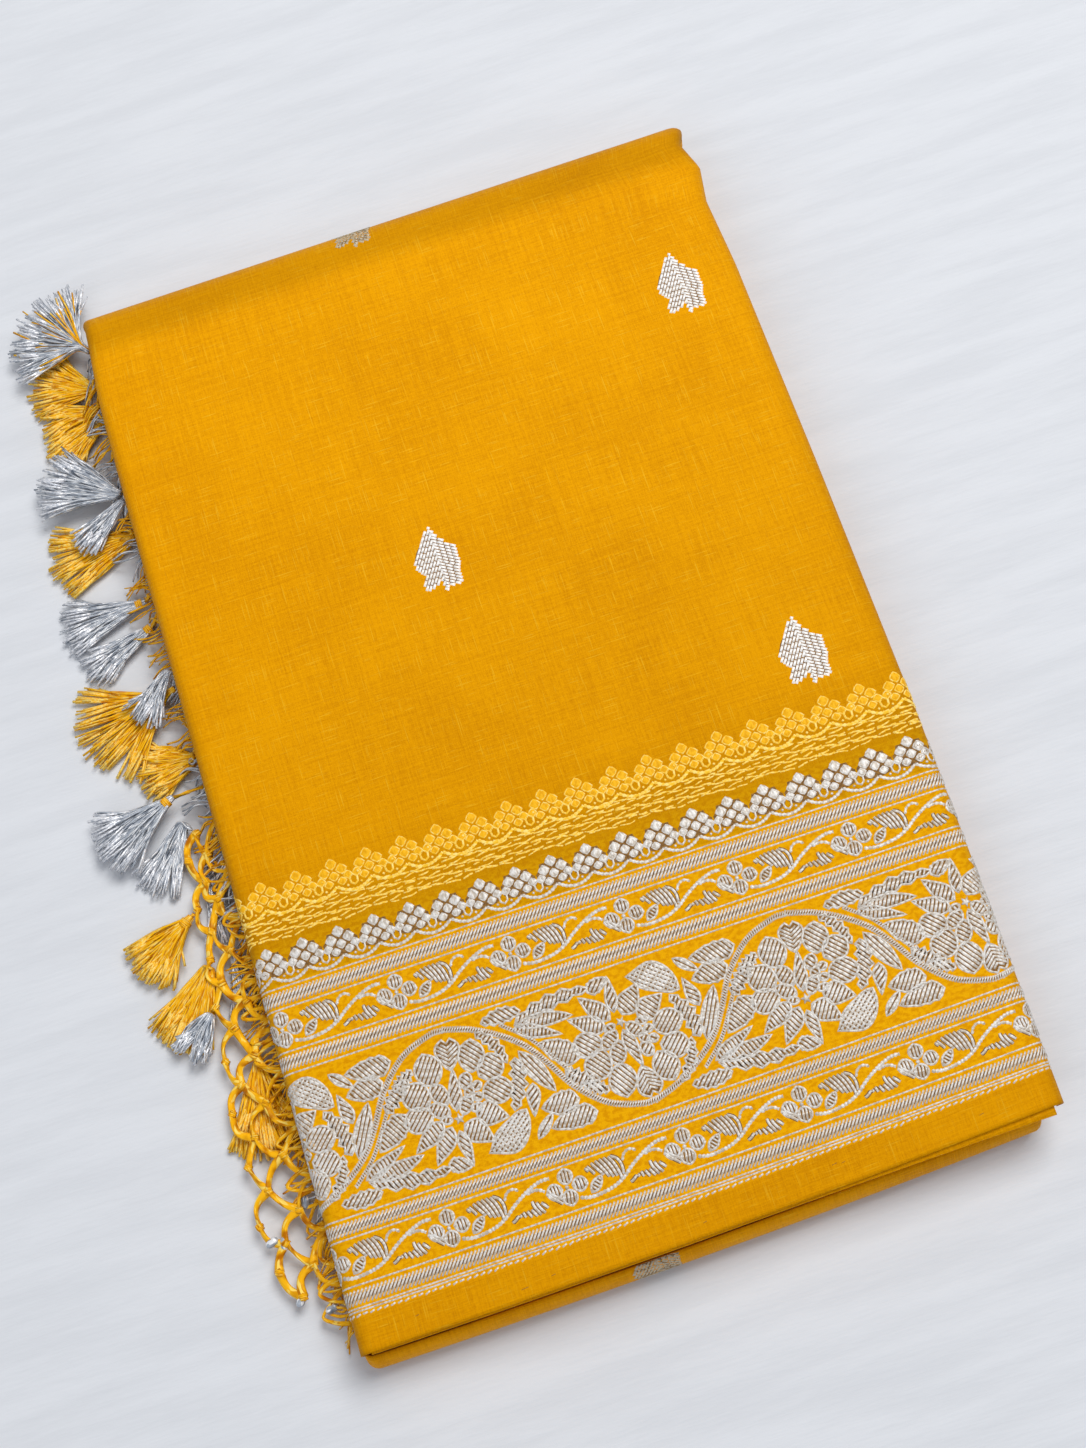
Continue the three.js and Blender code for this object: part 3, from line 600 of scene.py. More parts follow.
def build_stage():
    paint = Paint("table_cloth", Roughness=0.85)
    place = paint.node("ShaderNodeTexCoord").outputs["Object"]
    stretched = paint.node("ShaderNodeMapping", None, {
        "Vector": place, "Rotation": (0, 0, math.radians(RIPPLES["turn"])), "Scale": RIPPLES["scale"],
    }).outputs[0]
    folds, weave = (
        paint.node("ShaderNodeTexNoise", None, {"Vector": stretched, "Scale": scale, "Detail": detail})
        for scale, detail in ((1.0, 3.0), (RIPPLES["weave"], 1.0))
    )
    fine = paint.math("MULTIPLY", weave.outputs[0], RIPPLES["weave_share"])
    height = paint.math("ADD", folds.outputs[0], fine)
    # Painted shade of the ripples: the tone is darker in their troughs and lighter on their crests, with
    # the weave in it
    paint.color(paint.mix(paint.span(height, *RIPPLES["span"]), *FLOOR["tone"]))
    paint.bump(height, 0.25, 0.0015)
    half, low = FLOOR["half"], FLOOR["low"]
    corners = [(-half, -half, low), (half, -half, low), (half, half, low), (-half, half, low)]
    mesh = bpy.data.meshes.new("table")
    mesh.from_pydata(corners, [], [(0, 1, 2, 3)])
    mesh.materials.append(paint.material)
    table = bpy.data.objects.new("table", mesh)
    bpy.context.collection.objects.link(table)
    for name, place, size, watts, tint in LIGHTS:
        data = bpy.data.lights.new(name, "AREA")
        data.size = size
        data.energy = watts
        data.color = tint
        lamp = bpy.data.objects.new(name, data)
        lamp.location = place
        lamp.rotation_euler = (-Vector(place)).to_track_quat("-Z", "Y").to_euler()
        bpy.context.collection.objects.link(lamp)
    world = bpy.data.worlds.new("soft_room")
    world.use_nodes = True
    background = world.node_tree.nodes["Background"]
    background.inputs["Color"].default_value = ROOM["tint"]
    background.inputs["Strength"].default_value = ROOM["strength"]
    bpy.context.scene.world = world
    bpy.context.scene.view_settings.view_transform = "Standard"


def tube(pile, path, radii, sides=5, flat=1.0, twist=0.0, paint=0):
    """Closed rod through the points of a path; flat below 1 makes it a ribbon."""
    path = np.asarray(path, float)
    count = len(path)
    radii = np.broadcast_to(np.asarray(radii, float), count)
    ahead = unit(np.gradient(path, axis=0))
    across = unit(np.cross((0.0, 0.0, 1.0), ahead))
    rise = np.cross(ahead, across)
    around = TURN * np.arange(sides) / sides
    spin = np.linspace(0, twist, count)[:, None]
    a, b = np.cos(around)[None], flat * np.sin(around)[None]
    right = (a * np.cos(spin) - b * np.sin(spin)) * radii[:, None]
    up = (a * np.sin(spin) + b * np.cos(spin)) * radii[:, None]
    points = path[:, None] + right[..., None] * across[:, None] + up[..., None] * rise[:, None]
    run = run_along(path)
    own = (shake(pile.count, 1) * 300, shake(pile.count, 2) * 300)
    places = np.stack(np.broadcast_arrays(run[:, None], around[None]), axis=-1).reshape(-1, 2) + own
    i, k = np.meshgrid(np.arange(count - 1), np.arange(sides), indexing="ij")
    one, two = (i * sides + k).ravel(), (i * sides + (k + 1) % sides).ravel()
    walls = np.stack([one, two, two + sides, one + sides], axis=1)
    pile.add(points.reshape(-1, 3), walls, places, paint)
    caps = [list(range(sides))[::-1], list(range((count - 1) * sides, count * sides))]
    base = pile.count - count * sides
    for cap in caps:
        pile.faces.append([base + index for index in cap])
        pile.paints.append(paint)


def curve(points, steps):
    """A smooth line through given points, with even steps between each two."""
    points = np.asarray(points, float)
    ends = np.concatenate([[2 * points[0] - points[1]], points, [2 * points[-1] - points[-2]]])
    t = np.linspace(0, 1, steps, endpoint=False)[:, None]
    line = []
    for a, b, c, d in zip(ends, ends[1:], ends[2:], ends[3:]):
        line.append(0.5 * (2 * b + (c - a) * t + (2 * a - 5 * b + 4 * c - d) * t ** 2
                           + (3 * b - a - 3 * c + d) * t ** 3))
    return np.concatenate([*line, points[-1:]])


# Stitches: height, pitch, how deep their edges sink, how far they reach round the sides,
# the rim of a motif and the dark ground under it
SINK = -0.05
STITCH_END = CLOTH_HALF - 0.4
STITCH = {
    "height": 0.28, "pitch": 1.27, "inset": 0.3, "uneven": 0.18, "end": 0.45,
    "rim": 0.85, "rim_rise": 1.25, "ground": 0.04, "places": 0.7,
}
# Rings of a filled outline from its edge inwards, and the rise of the inner two
DOME = {"rings": (1.0, 0.84, 0.45), "rise": (0.7, 0.95)}
# Spacing of points along a stitch where the cloth turns and where it is level
FOLLOW = {"turning": 0.8, "level": 2.6}


class Stitches(Pile):
    """Raised stitches, laid out flat and put on the cloth all together."""

    def piece(self, name, materials, slot):
        flat = np.concatenate(self.points)
        flat[:, 0] = np.clip(flat[:, 0], -STITCH_END, STITCH_END)
        flat[:, 1] = np.minimum(flat[:, 1], CLOTH_END)
        self.points = [on_cloth(flat[:, :2], flat[:, 2])]
        return super().piece(name, materials, slot)
    def stroke(self, path, width, height, paint=0, closed=False):
        """A round-topped thread along flat places; its ends run down to the cloth."""
        path = finer(path)
        if np.abs(path[:, 0]).min() > CLOTH_HALF:
            return
        count = len(path)
        if closed:
            ahead = np.roll(path, -1, axis=0) - np.roll(path, 1, axis=0)
        else:
            ahead = np.gradient(path, axis=0)
        ahead = unit(ahead)
        across = np.stack([-ahead[:, 1], ahead[:, 0]], axis=1) * np.reshape(width, (-1, 1)) / 2
        heights = np.broadcast_to(np.asarray(height, float), count).copy()
        if not closed:
            heights[[0, -1]] *= STITCH["end"]
        low = np.full(count, SINK)
        left = np.column_stack([path + across, low])
        crest = np.column_stack([path, heights])
        right = np.column_stack([path - across, low])
        points = np.stack([left, crest, right], axis=1).reshape(-1, 3)
        run = run_along(path)
        places = np.stack([np.repeat(run, 3), np.tile([0.0, 0.5, 1.0], count)], axis=1)
        i = np.arange(count if closed else count - 1)
        j = (i + 1) % count
        faces = np.concatenate([
            np.stack([3 * i + side, 3 * i + side + 1, 3 * j + side + 1, 3 * j + side], axis=1)
            for side in (0, 1)
        ])
        base = self.count
        self.add(points, faces, places + [path[0, 1] * STITCH["places"], 0], paint)
        if not closed:
            last = base + 3 * (count - 1)
            self.faces += [[base, base + 2, base + 1], [last, last + 1, last + 2]]
            self.paints += [paint, paint]

    def patch(self, outline, height, paint=0, dome=0.0):
        """A filled outline at one height, or crowned by a dome."""
        outline = np.asarray(outline, float)
        centre = outline.mean(axis=0)
        count = len(outline)
        rings = [centre + (outline - centre) * share for share in DOME["rings"]]
        heights = [height if dome == 0 else SINK, *(height + dome * share for share in DOME["rise"])]
        points = [np.column_stack([ring, np.full(count, high)]) for ring, high in zip(rings, heights)]
        points.append(np.array([[*centre, height + dome]]))
        k = np.arange(count)
        n = (k + 1) % count
        base = self.count
        walls = [np.stack([k + a, n + a, n + a + count, k + a + count], axis=1) for a in (0, count)]
        points = np.concatenate(points)
        self.add(points, np.concatenate(walls), points[:, :2], paint)
        middle = base + len(points) - 1
        inner = base + 2 * count
        self.faces += [[inner + i, inner + j, middle] for i, j in zip(k.tolist(), n.tolist())]
        self.paints += [paint] * count


def finer(path):
    """The same line with enough points to follow the cloth, most of all round its sides."""
    path = np.asarray(path, float)
    line = [path[:1]]
    for a, b in zip(path[:-1], path[1:]):
        step = FOLLOW["turning" if max(abs(a[0]), abs(b[0])) > FLAT_HALF - 1 else "level"]
        parts = max(1, math.ceil(math.hypot(*(b - a)) / step))
        t = np.linspace(0, 1, parts + 1)[1:, None]
        line.append(a + (b - a) * t)
    return np.concatenate(line)


def turned(points, angle):
    c, s = math.cos(math.radians(angle)), math.sin(math.radians(angle))
    return np.asarray(points, float) @ np.array([[c, s], [-s, c]])


def across_outline(outline, angle, pitch, inset):
    """Straight lines across an outline at an angle, a pitch apart."""
    lines = []
    level = turned(outline, -angle)
    after = np.roll(level, -1, axis=0)
    for y in np.arange(level[:, 1].min() + pitch * 0.6, level[:, 1].max() - pitch * 0.25, pitch):
        crossed = (level[:, 1] <= y) != (after[:, 1] <= y)
        a, b = level[crossed], after[crossed]
        xs = np.sort(a[:, 0] + (y - a[:, 1]) / (b[:, 1] - a[:, 1]) * (b[:, 0] - a[:, 0]))
        for x0, x1 in zip(xs[::2], xs[1::2]):
            if x1 - x0 > 2 * inset + 0.5:
                lines.append(turned([(x0 + inset, y), (x1 - inset, y)], angle))
    return lines


# Outlines along +x from 0 to 1, as half widths at even steps; a leaf's edge has teeth
OUTLINES = {
    "petal": (0.0, 0.5, 0.74, 0.88, 0.97, 1.0, 0.98, 0.9, 0.72, 0.42, 0.0),
    "spear": (0.0, 0.55, 0.85, 1.0, 0.98, 0.88, 0.74, 0.56, 0.38, 0.2, 0.0),
    "blade": (0.0, 0.4, 0.7, 0.9, 1.0, 1.0, 0.92, 0.78, 0.58, 0.34, 0.0),
    "leaf": (0.0, 0.55, 0.5, 0.95, 0.78, 1.1, 0.82, 0.98, 0.6, 0.62, 0.0),
    "pod": (0.0, 0.28, 0.62, 0.9, 1.0, 1.0, 0.94, 0.84, 0.7, 0.46, 0.0),
    "saw": (0.0, 0.8, 0.45, 1.1, 0.55, 1.15, 0.55, 1.0, 0.4, 0.6, 0.0),
    "fan": (0.0, 0.3, 0.5, 0.68, 0.86, 0.84, 1.0, 0.84, 0.92, 0.6, 0.0),
    "heart": (0.0, 0.3, 0.5, 0.66, 0.8, 0.92, 1.0, 1.0, 0.92, 0.7, 0.35),
}


def outline_of(kind, place, long, wide, angle, bend=0.0):
    """An outline set in place: middle, length, width, way of its tip and bend."""
    half = np.array(OUTLINES[kind]) * wide / 2
    t = np.linspace(0, 1, len(half))
    x = (t - 0.5) * long
    arch = bend * (4 * t * (1 - t) - 0.5)
    upper = np.stack([x, arch + half], axis=1)
    lower = np.stack([x, arch - half], axis=1)[::-1]
    ends = 1 if half[-1] == 0 else 0
    ring = np.concatenate([upper, lower[ends:-1]])
    if not ends:
        ring = np.insert(ring, len(half), (long * 0.36, arch[-1]), axis=0)
    return turned(ring, angle) + place


def rim(threads, outline):
    threads.stroke(outline, STITCH["rim"], STITCH["height"] * STITCH["rim_rise"], closed=True)


def stitched(threads, ground, outline, angle, pitch=STITCH["pitch"], cross=False):
    """A motif: dark ground, stitches across it and a rim."""
    if np.abs(outline[:, 0]).min() > CLOTH_HALF:
        return
    ground.patch(outline, STITCH["ground"])
    for i, line in enumerate(across_outline(outline, angle, pitch, STITCH["inset"])):
        uneven = STITCH["height"] * (1 + STITCH["uneven"] * shake(i, round(outline[0, 0])))
        threads.stroke(line, pitch * 0.98, uneven)
    if cross:
        for line in across_outline(outline, angle + 90, pitch, STITCH["inset"]):
            threads.stroke(line, pitch * 0.6, STITCH["height"] * 1.1)
    rim(threads, outline)


# The nested Vs of a heart-shaped petal, as shares of its length, and their slant
CHEVRON = {"from": -0.44, "to": 0.3, "ahead": 2.2, "least": 0.3, "slant": 0.75, "wide": 0.85}


def chevrons(threads, ground, outline, size, place):
    """A petal filled with one V inside the other, which point at its base."""
    long, wide, way = size
    if abs(place[0]) > CLOTH_HALF:
        return
    ground.patch(outline, STITCH["ground"])
    half = np.array(OUTLINES["heart"]) * wide / 2 - 0.5
    along = np.linspace(-0.5, 0.5, len(half)) * long
    for x in np.arange(CHEVRON["from"], CHEVRON["to"], STITCH["pitch"] / long) * long:
        side = max(CHEVRON["least"], float(np.interp(x + CHEVRON["ahead"], along, half)))
        tip = x + side * CHEVRON["slant"]
        arms = turned([(tip, side), (x, 0), (tip, -side)], way) + place
        threads.stroke(arms, STITCH["pitch"] * CHEVRON["wide"], STITCH["height"])
    rim(threads, outline)


def evenly(path, pitch):
    """Places along a path, about a pitch apart and three at the least."""
    path = np.asarray(path, float)
    run = run_along(path)
    at = np.linspace(0, run[-1], max(3, round(run[-1] / pitch)))
    return np.stack([np.interp(at, run, path[:, 0]), np.interp(at, run, path[:, 1])], axis=1)


BEADS = {"pitch": 0.6, "narrow": 0.66}
LADDER = {"pitch": 0.82, "slant": 0.16, "wide": 0.86, "ground": 0.9, "lift": 0.05}


def beaded(threads, path, width, height):
    """A line of small beads: wide and narrow by turns."""
    line = evenly(path, BEADS["pitch"])
    beat = np.where(np.arange(len(line)) % 2, 1.0, BEADS["narrow"])
    threads.stroke(line, width * beat, height * beat)


def laddered(threads, ground, path, width):
    """A stem: short stitches side by side across a line."""
    line = evenly(path, LADDER["pitch"])
    ahead = unit(np.gradient(line, axis=0))
    side = np.stack([-ahead[:, 1], ahead[:, 0]], axis=1)
    ground.stroke(line, width * LADDER["ground"], STITCH["ground"] + LADDER["lift"])
    for place, way, out in zip(line, ahead, side):
        if abs(place[0]) < CLOTH_HALF:
            slant = out * width / 2 + way * width * LADDER["slant"]
            threads.stroke([place - slant, place + slant], LADDER["wide"], STITCH["height"] * 1.2)


# Border rows, as heights v: thin beaded lines, and bands of slanted stitches
THIN_LINES = (12.6, 13.5, 20.0, 33.9, 40.0, 87.6, 94.4, 107.9, 114.6)
THIN_LINE = {"wide": 0.72, "high": 0.28}
SLANTED_BANDS = ((14.5, 18.7), (35.0, 38.8), (88.9, 93.2), (109.0, 113.4))
HEM_STITCH = {"low": 11.2, "high": 11.7, "pitch": 2.2, "long": 1.5, "wide": 0.7, "tall": 0.28}
# Dark specks in the plain strip under the border: u, v, long
FLECKS = [
    (-95, 6.0, 1.2), (-62, 3.2, 2.4), (-52, 4.2, 1.4), (-3, 4.0, 1.2), (40, 7.0, 1.6), (43, 6.6, 1.2),
    (88, 5.5, 1.5),
]
FLECK = {"rise": 0.2, "wide": 0.45, "high": 0.06}
BAND = {"pitch": 1.25, "lean": 3.2, "wide": 0.78, "uneven": 0.2}
LEAF_ROW = {"pitch": 12.04, "first": -60.9, "base": 117.6}
GOLD_ROW = {"pitch": 12.04, "first": -57.0, "base": 139.6}
CREEPERS = ({"first": 4.9, "pitch": 38.2, "middle": 101.2}, {"first": -0.1, "pitch": 38.4, "middle": 27.1})
WIDE = {"first": 49.9, "shift": 57.4, "mirror": 129.2, "sunk": 1.6, "units": (-4, 3)}

# One upright leaf from its base: its cells as x, y, wide, tall, and the half outline of its ground
LEAF_CELLS = [
    (0, 9.5, 3.7, 3.9), (3.0, 6.9, 3.7, 3.7), (-3.0, 6.9, 3.7, 3.7), (0, 4.9, 3.2, 3.3),
    (4.6, 4.2, 2.9, 2.9), (-4.6, 4.2, 2.9, 2.9), (2.3, 2.5, 3.0, 2.8), (-2.3, 2.5, 3.0, 2.8),
]
LEAF_BACK = [(0, 11.5), (1.9, 9.5), (4.1, 9.4), (4.6, 7.4), (6.1, 6.0), (5.8, 2.6), (4.2, 1.2), (0, 0.4)]
LEAF_BUD = [(0, 4.2), (1.3, 3.0), (1.1, 1.4), (0, 0.6), (-1.1, 1.4), (-1.3, 3.0)]
LEAF_DOTS = ((2.3, 0.3), (-2.3, 0.3), (1.9, 3.9))
LEAF_STEM = [(0, 0.9), (2.6, -0.9), (6.0, -1.7), (9.4, -0.9), (12.0, 0.9)]
# A cell is a white patch with a rim and two slanted brown stitches
CELL = {
    "wide": 0.98, "tall": 0.92, "patch": 1.1, "lift": 0.1, "dome": 0.1, "ring": 0.98, "rim": 0.66,
    "rim_high": 0.75, "apart": 0.32, "slant": 0.4, "half": 0.4, "brown": 0.46,
}
# In the tone-on-tone row it is a low golden dome in a thin rim
GOLD_CELL = {"lift": 0.02, "dome": 0.3, "rim": 0.55, "rim_high": 0.9}
# The narrow creeper from one flower to the next: kind, x, y, long, wide, way, hatch, bend
NARROW_SHAPES = [
    ("petal", -0.5, 2.5, 4.7, 4.4, 90, 90, 0),
    ("petal", 3.3, -1.0, 4.7, 4.2, -12, 96, 0),
    ("petal", -0.8, -4.0, 4.9, 4.4, -90, 84, 0),
    ("petal", -5.0, -1.0, 4.9, 4.6, 180, 96, 0),
    ("blade", 8.2, -2.7, 5.8, 2.8, 42, -48, 0),
]
# Its single long stitches: the arched leaf, then the fern under the stem
NARROW_STROKES = [
    ((6.0, 3.1), (7.0, 1.8)), ((6.8, 3.4), (7.6, 2.2), (8.6, 0.4)),
    ((8.3, 4.0), (9.6, 1.8), (11.2, -0.8)),
    ((9.7, 4.3), (11.2, 1.6), (12.7, -2.0)), ((11.1, 4.4), (12.6, 1.4), (13.9, -2.5)),
    ((12.5, 4.4), (14.0, 1.4), (15.1, -2.6)), ((13.9, 4.2), (15.3, 1.4), (16.1, -2.2), (16.2, -4.0)),
    ((14.6, 4.2), (16.4, 2.9), (17.3, 0.6), (17.2, -2.8)),
    ((18.4, -6.0), (19.6, -5.4), (20.8, -4.4)), ((21.2, -4.2), (21.6, -5.2)),
    ((22.3, -3.8), (22.9, -5.6)), ((23.6, -3.9), (24.7, -6.2)), ((25.0, -3.9), (26.4, -6.4)),
    ((25.9, -1.4), (26.3, -3.6), (27.6, -6.4)), ((27.1, -2.2), (27.9, -4.4), (29.0, -6.2)),
    ((28.5, -2.8), (30.3, -5.0)), ((31.0, -0.6), (32.6, -2.9), (35.0, -5.4)),
    ((32.0, -0.9), (33.6, -2.6), (35.4, -4.2)),
]
NARROW = {"tall": 0.93, "lift": 1.1, "pitch": 1.05, "wide": 1.0, "ground": 2.3, "long": 40, "last": 4}
NARROW_VINE = [(2.1, -5.4), (5.4, -6.3), (9.1, -6.2), (13.1, -5.5), (16.9, -3.7), (20.6, -0.8),
               (25.6, 2.2), (30.0, 3.8), (33.0, 3.8)]
NARROW_TENDRIL = [(18.0, 1.5), (18.7, 3.2), (20.2, 4.3), (21.8, 4.2), (22.8, 3.2)]
NARROW_TWIG = [(25.0, 1.2), (27.2, 1.7), (29.1, 1.3), (30.6, 0.2)]

# Shapes of the wide creeper round one flower, whose star is the origin. The next unit
# is the same, shifted along and turned upside down: kind, x, y, long, wide, way, hatch, bend
WIDE_SHAPES = [
    ("heart", 2.3, 19.9, 9.8, 7.8, 83, 0, 0),
    ("petal", 9.2, 17.4, 10.2, 8.2, 76, -48, 0),
    ("petal", 14.1, 12.2, 9.4, 7.9, 22, -46, 0),
    ("petal", 14.1, 4.6, 10.0, 8.0, -2, -46, 0),
    ("petal", -5.1, 17.3, 10.6, 8.6, 94, 55, 0),
    ("petal", -11.0, 10.6, 10.2, 8.4, 126, 50, 0),
    ("petal", -12.4, 3.5, 9.8, 7.8, 180, 46, 0),
    ("spear", -10.5, -2.7, 12.4, 5.8, -149, -66, 0),
    ("spear", -6.8, -6.6, 12.2, 5.6, -128, -60, 0),
    ("spear", -0.5, -9.3, 11.5, 3.6, -84, -50, 0),
    ("fan", -3.7, -13.5, 7.4, 4.6, 160, -50, 0),
    ("spear", 10.3, -1.9, 10.4, 7.4, -27, 50, 0),
    ("spear", 4.9, -6.0, 10.8, 7.2, -46, 58, 0),
    ("spear", 1.1, 8.9, 12.9, 4.0, 79, 50, 0),
    ("petal", -3.9, 9.0, 8.2, 4.9, 112, 45, 0),
    ("petal", -5.2, 4.3, 7.2, 4.4, 142, 50, 0),
    ("petal", -4.0, 0.8, 3.8, 2.4, 160, 60, 0),
    ("petal", 5.2, 10.6, 5.2, 3.8, 60, -50, 0),
    ("petal", 5.4, 6.9, 3.8, 2.8, 50, -50, 0),
    ("petal", 8.2, 8.0, 3.2, 2.6, 10, 40, 0),
    ("petal", 7.6, 4.6, 3.4, 2.4, 0, -40, 0),
    ("petal", 3.4, 3.5, 6.6, 3.8, 52, -40, 0),
    ("petal", 6.4, 1.6, 4.2, 2.4, 0, 70, 0),
    ("pod", 13.9, -9.3, 17.4, 9.0, 31, 40, -2.2),
    ("saw", -13.6, 16.6, 8.2, 4.2, 34, 55, 0),
    ("saw", 16.5, 18.0, 13.9, 3.6, -60, 40, 1.4),
    ("blade", 27.6, 6.2, 17.0, 5.2, -64, -62, 0),
    ("saw", 20.3, 4.4, 16.0, 5.2, -108, -54, 1.2),
    ("spear", 23.9, -1.9, 10.0, 4.0, -104, 40, 0),
    ("fan", 31.5, -5.6, 12.0, 7.4, -4, 54, 0),
    ("fan", 34.2, -11.4, 15.0, 7.0, 2, 54, 0.6),
    ("blade", 25.0, -10.6, 8.8, 2.8, 43, 43, 0),
    ("leaf", 21.6, 26.0, 13.0, 4.8, 0, -47, 0.4),
    ("saw", 37.8, 24.6, 26.0, 4.6, 8, 60, 1.6),
    ("blade", 34.4, 20.6, 18.4, 4.4, -7, 64, 0.6),
    ("spear", 31.5, 17.8, 15.6, 4.2, -24, 70, 0),
    ("fan", 36.2, 10.0, 13.6, 7.6, -38, 56, 0),
    ("saw", 40.6, -0.6, 12.0, 5.0, -40, 50, -0.6),
]
WIDE_VINE = [(-54.6, -14.1), (-46.4, -11.5), (-38.3, -7.0), (-31.2, -1.2), (-25.8, 6.3),
             (-20.2, 15.5), (-11.6, 23.8), (-1.6, 27.6), (2.8, 27.7)]
WIDE_TWIN = [(-36.5, -9.6), (-29.4, -3.2), (-23.4, 5.4), (-18.6, 13.2)]
STAR = {"points": 5, "out": 1.9, "in": 0.9, "v": 57.7, "lift": 0.12, "dome": 0.4}
LOZENGE = {"sides": 8, "narrow": 0.82}


def lozenge(place, wide, tall):
    """Eight-sided cell or dot, pointed at its four ends."""
    k = np.arange(LOZENGE["sides"])
    steps = k * TURN / LOZENGE["sides"]
    reach = np.where(k % 2, LOZENGE["narrow"], 1.0)
    return np.stack([np.cos(steps) * reach * wide / 2, np.sin(steps) * reach * tall / 2], axis=1) + place


def leaf_cell(threads, ground, cell, place):
    a, b, wide, long = cell
    shape = lozenge((a, b), wide, long) * (CELL["wide"], CELL["tall"]) + place
    high = STITCH["height"]
    if ground is None:
        threads.patch(shape, GOLD_CELL["lift"], 1, high * GOLD_CELL["dome"])
        threads.stroke(shape, GOLD_CELL["rim"], high * GOLD_CELL["rim_high"], closed=True)
        return
    middle = shape.mean(axis=0)
    threads.patch(middle + (shape - middle) * CELL["patch"], CELL["lift"], 0, high * CELL["dome"])
    ring = middle + (shape - middle) * CELL["ring"]
    threads.stroke(ring, CELL["rim"], high * CELL["rim_high"], closed=True)
    slant = CELL["slant"] * (-1 if a < 0 else 1)
    for step in (-CELL["apart"], CELL["apart"]):
        low, top = (step - slant, -CELL["half"]), (step + slant, CELL["half"])
        ground.stroke([middle + low, middle + top], CELL["brown"], high)


def leaf_row(threads, ground, row):
    """Upright leaves made of cells, joined by shallow stems with a bud between.

    With no ground given the cells are golden domes.
    """
    first = row["first"] - row["pitch"] * math.floor((row["first"] + CLOTH_HALF) / row["pitch"] + 0.5)
    back = np.array(LEAF_BACK)
    back = np.concatenate([back, back[1:-1][::-1] * (-1, 1)])
    high = STITCH["height"]
    for x in np.arange(first, CLOTH_HALF + 5, row["pitch"]):
        place = np.array([x, row["base"]])
        if abs(x) < CLOTH_HALF + 3:
            if ground is not None:
                ground.patch(back * (0.95, CELL["tall"]) + place, STITCH["ground"])
            for cell in LEAF_CELLS:
                leaf_cell(threads, ground, cell, place)
        bud = np.array(LEAF_BUD) + place + (row["pitch"] / 2, -0.6)
        if abs(x + 6) < CLOTH_HALF + 5:
            beaded(threads, place + curve(LEAF_STEM, 3), 1.4, high * 1.1)
        if np.abs(bud[:, 0]).min() < CLOTH_HALF:
            threads.stroke(bud, 0.8, high, closed=True)
            for dot in LEAF_DOTS:
                threads.patch(lozenge(place + dot + (row["pitch"] / 2, 0), 1.0, 1.0), 0.08, 0, 0.18)


def narrow_creeper(threads, ground, row):
    """A vine with a small flower, an arched leaf and a fern, again and again."""
    low = math.ceil((-CLOTH_HALF - NARROW["long"] - row["first"]) / row["pitch"])
    for k in range(low, NARROW["last"]):
        place = np.array([row["first"] + row["pitch"] * k, row["middle"] + NARROW["lift"]])
        if place[0] > CLOTH_HALF + 5:
            break
        for kind, x, y, long, wide, way, hatch, bend in NARROW_SHAPES:
            outline = outline_of(kind, place + (x, y), long, wide, way, bend)
            stitched(threads, ground, outline, hatch, NARROW["pitch"])
        threads.patch(lozenge(place + (-0.9, -0.8), 1.5, 1.5), 0.1, 0, 0.35)
        for line in NARROW_STROKES:
            path = curve(line, 3) * (1, NARROW["tall"]) + place
            if np.abs(path[:, 0]).max() < CLOTH_HALF:
                ground.stroke(path, NARROW["ground"], STITCH["ground"] * 2)
                threads.stroke(path, NARROW["wide"], STITCH["height"] * 1.2)
        for line, width in ((NARROW_VINE, 1.5), (NARROW_TENDRIL, 1.15), (NARROW_TWIG, 1.3)):
            path = curve(line, 4) * (1, NARROW["tall"]) + place
            if np.abs(path[:, 0]).min() < CLOTH_HALF:
                beaded(threads, path, width, STITCH["height"] * 1.1)


def wide_creeper(threads, ground):
    """Big striped flowers, every second one upside down, in the arches of a vine."""
    steps = np.arange(STAR["points"] * 2) * math.pi / STAR["points"]
    reach = np.where(np.arange(len(steps)) % 2, STAR["in"], STAR["out"])
    star_ring = np.stack([np.sin(steps) * reach, np.cos(steps) * reach], axis=1)
    for k in range(*WIDE["units"]):
        flip = -1 if k % 2 else 1
        star = STAR["v"] if flip == 1 else WIDE["mirror"] - STAR["v"]
        place = np.array([WIDE["first"] + WIDE["shift"] * k, star])
        sunk = place - (0, WIDE["sunk"] if flip < 0 else 0)
        for kind, x, y, long, wide, way, hatch, bend in WIDE_SHAPES:
            outline = outline_of(kind, (0, 0), long, wide, way, bend) + (x, y)
            outline = outline * (1, flip) + sunk
            if kind == "heart":
                chevrons(threads, ground, outline, (long, wide, way * flip), np.array([x, y * flip]) + sunk)
            else:
                stitched(threads, ground, outline, hatch * flip, cross=kind == "pod")
        threads.patch(star_ring * (1, flip) + sunk, STAR["lift"], 0, STAR["dome"])
        for line, width in ((WIDE_VINE, 1.9), (WIDE_TWIN, 1.3)):
            path = curve(line, 6) * (1, flip) + place
            if np.abs(path[:, 0]).min() < CLOTH_HALF:
                laddered(threads, ground, path, width)


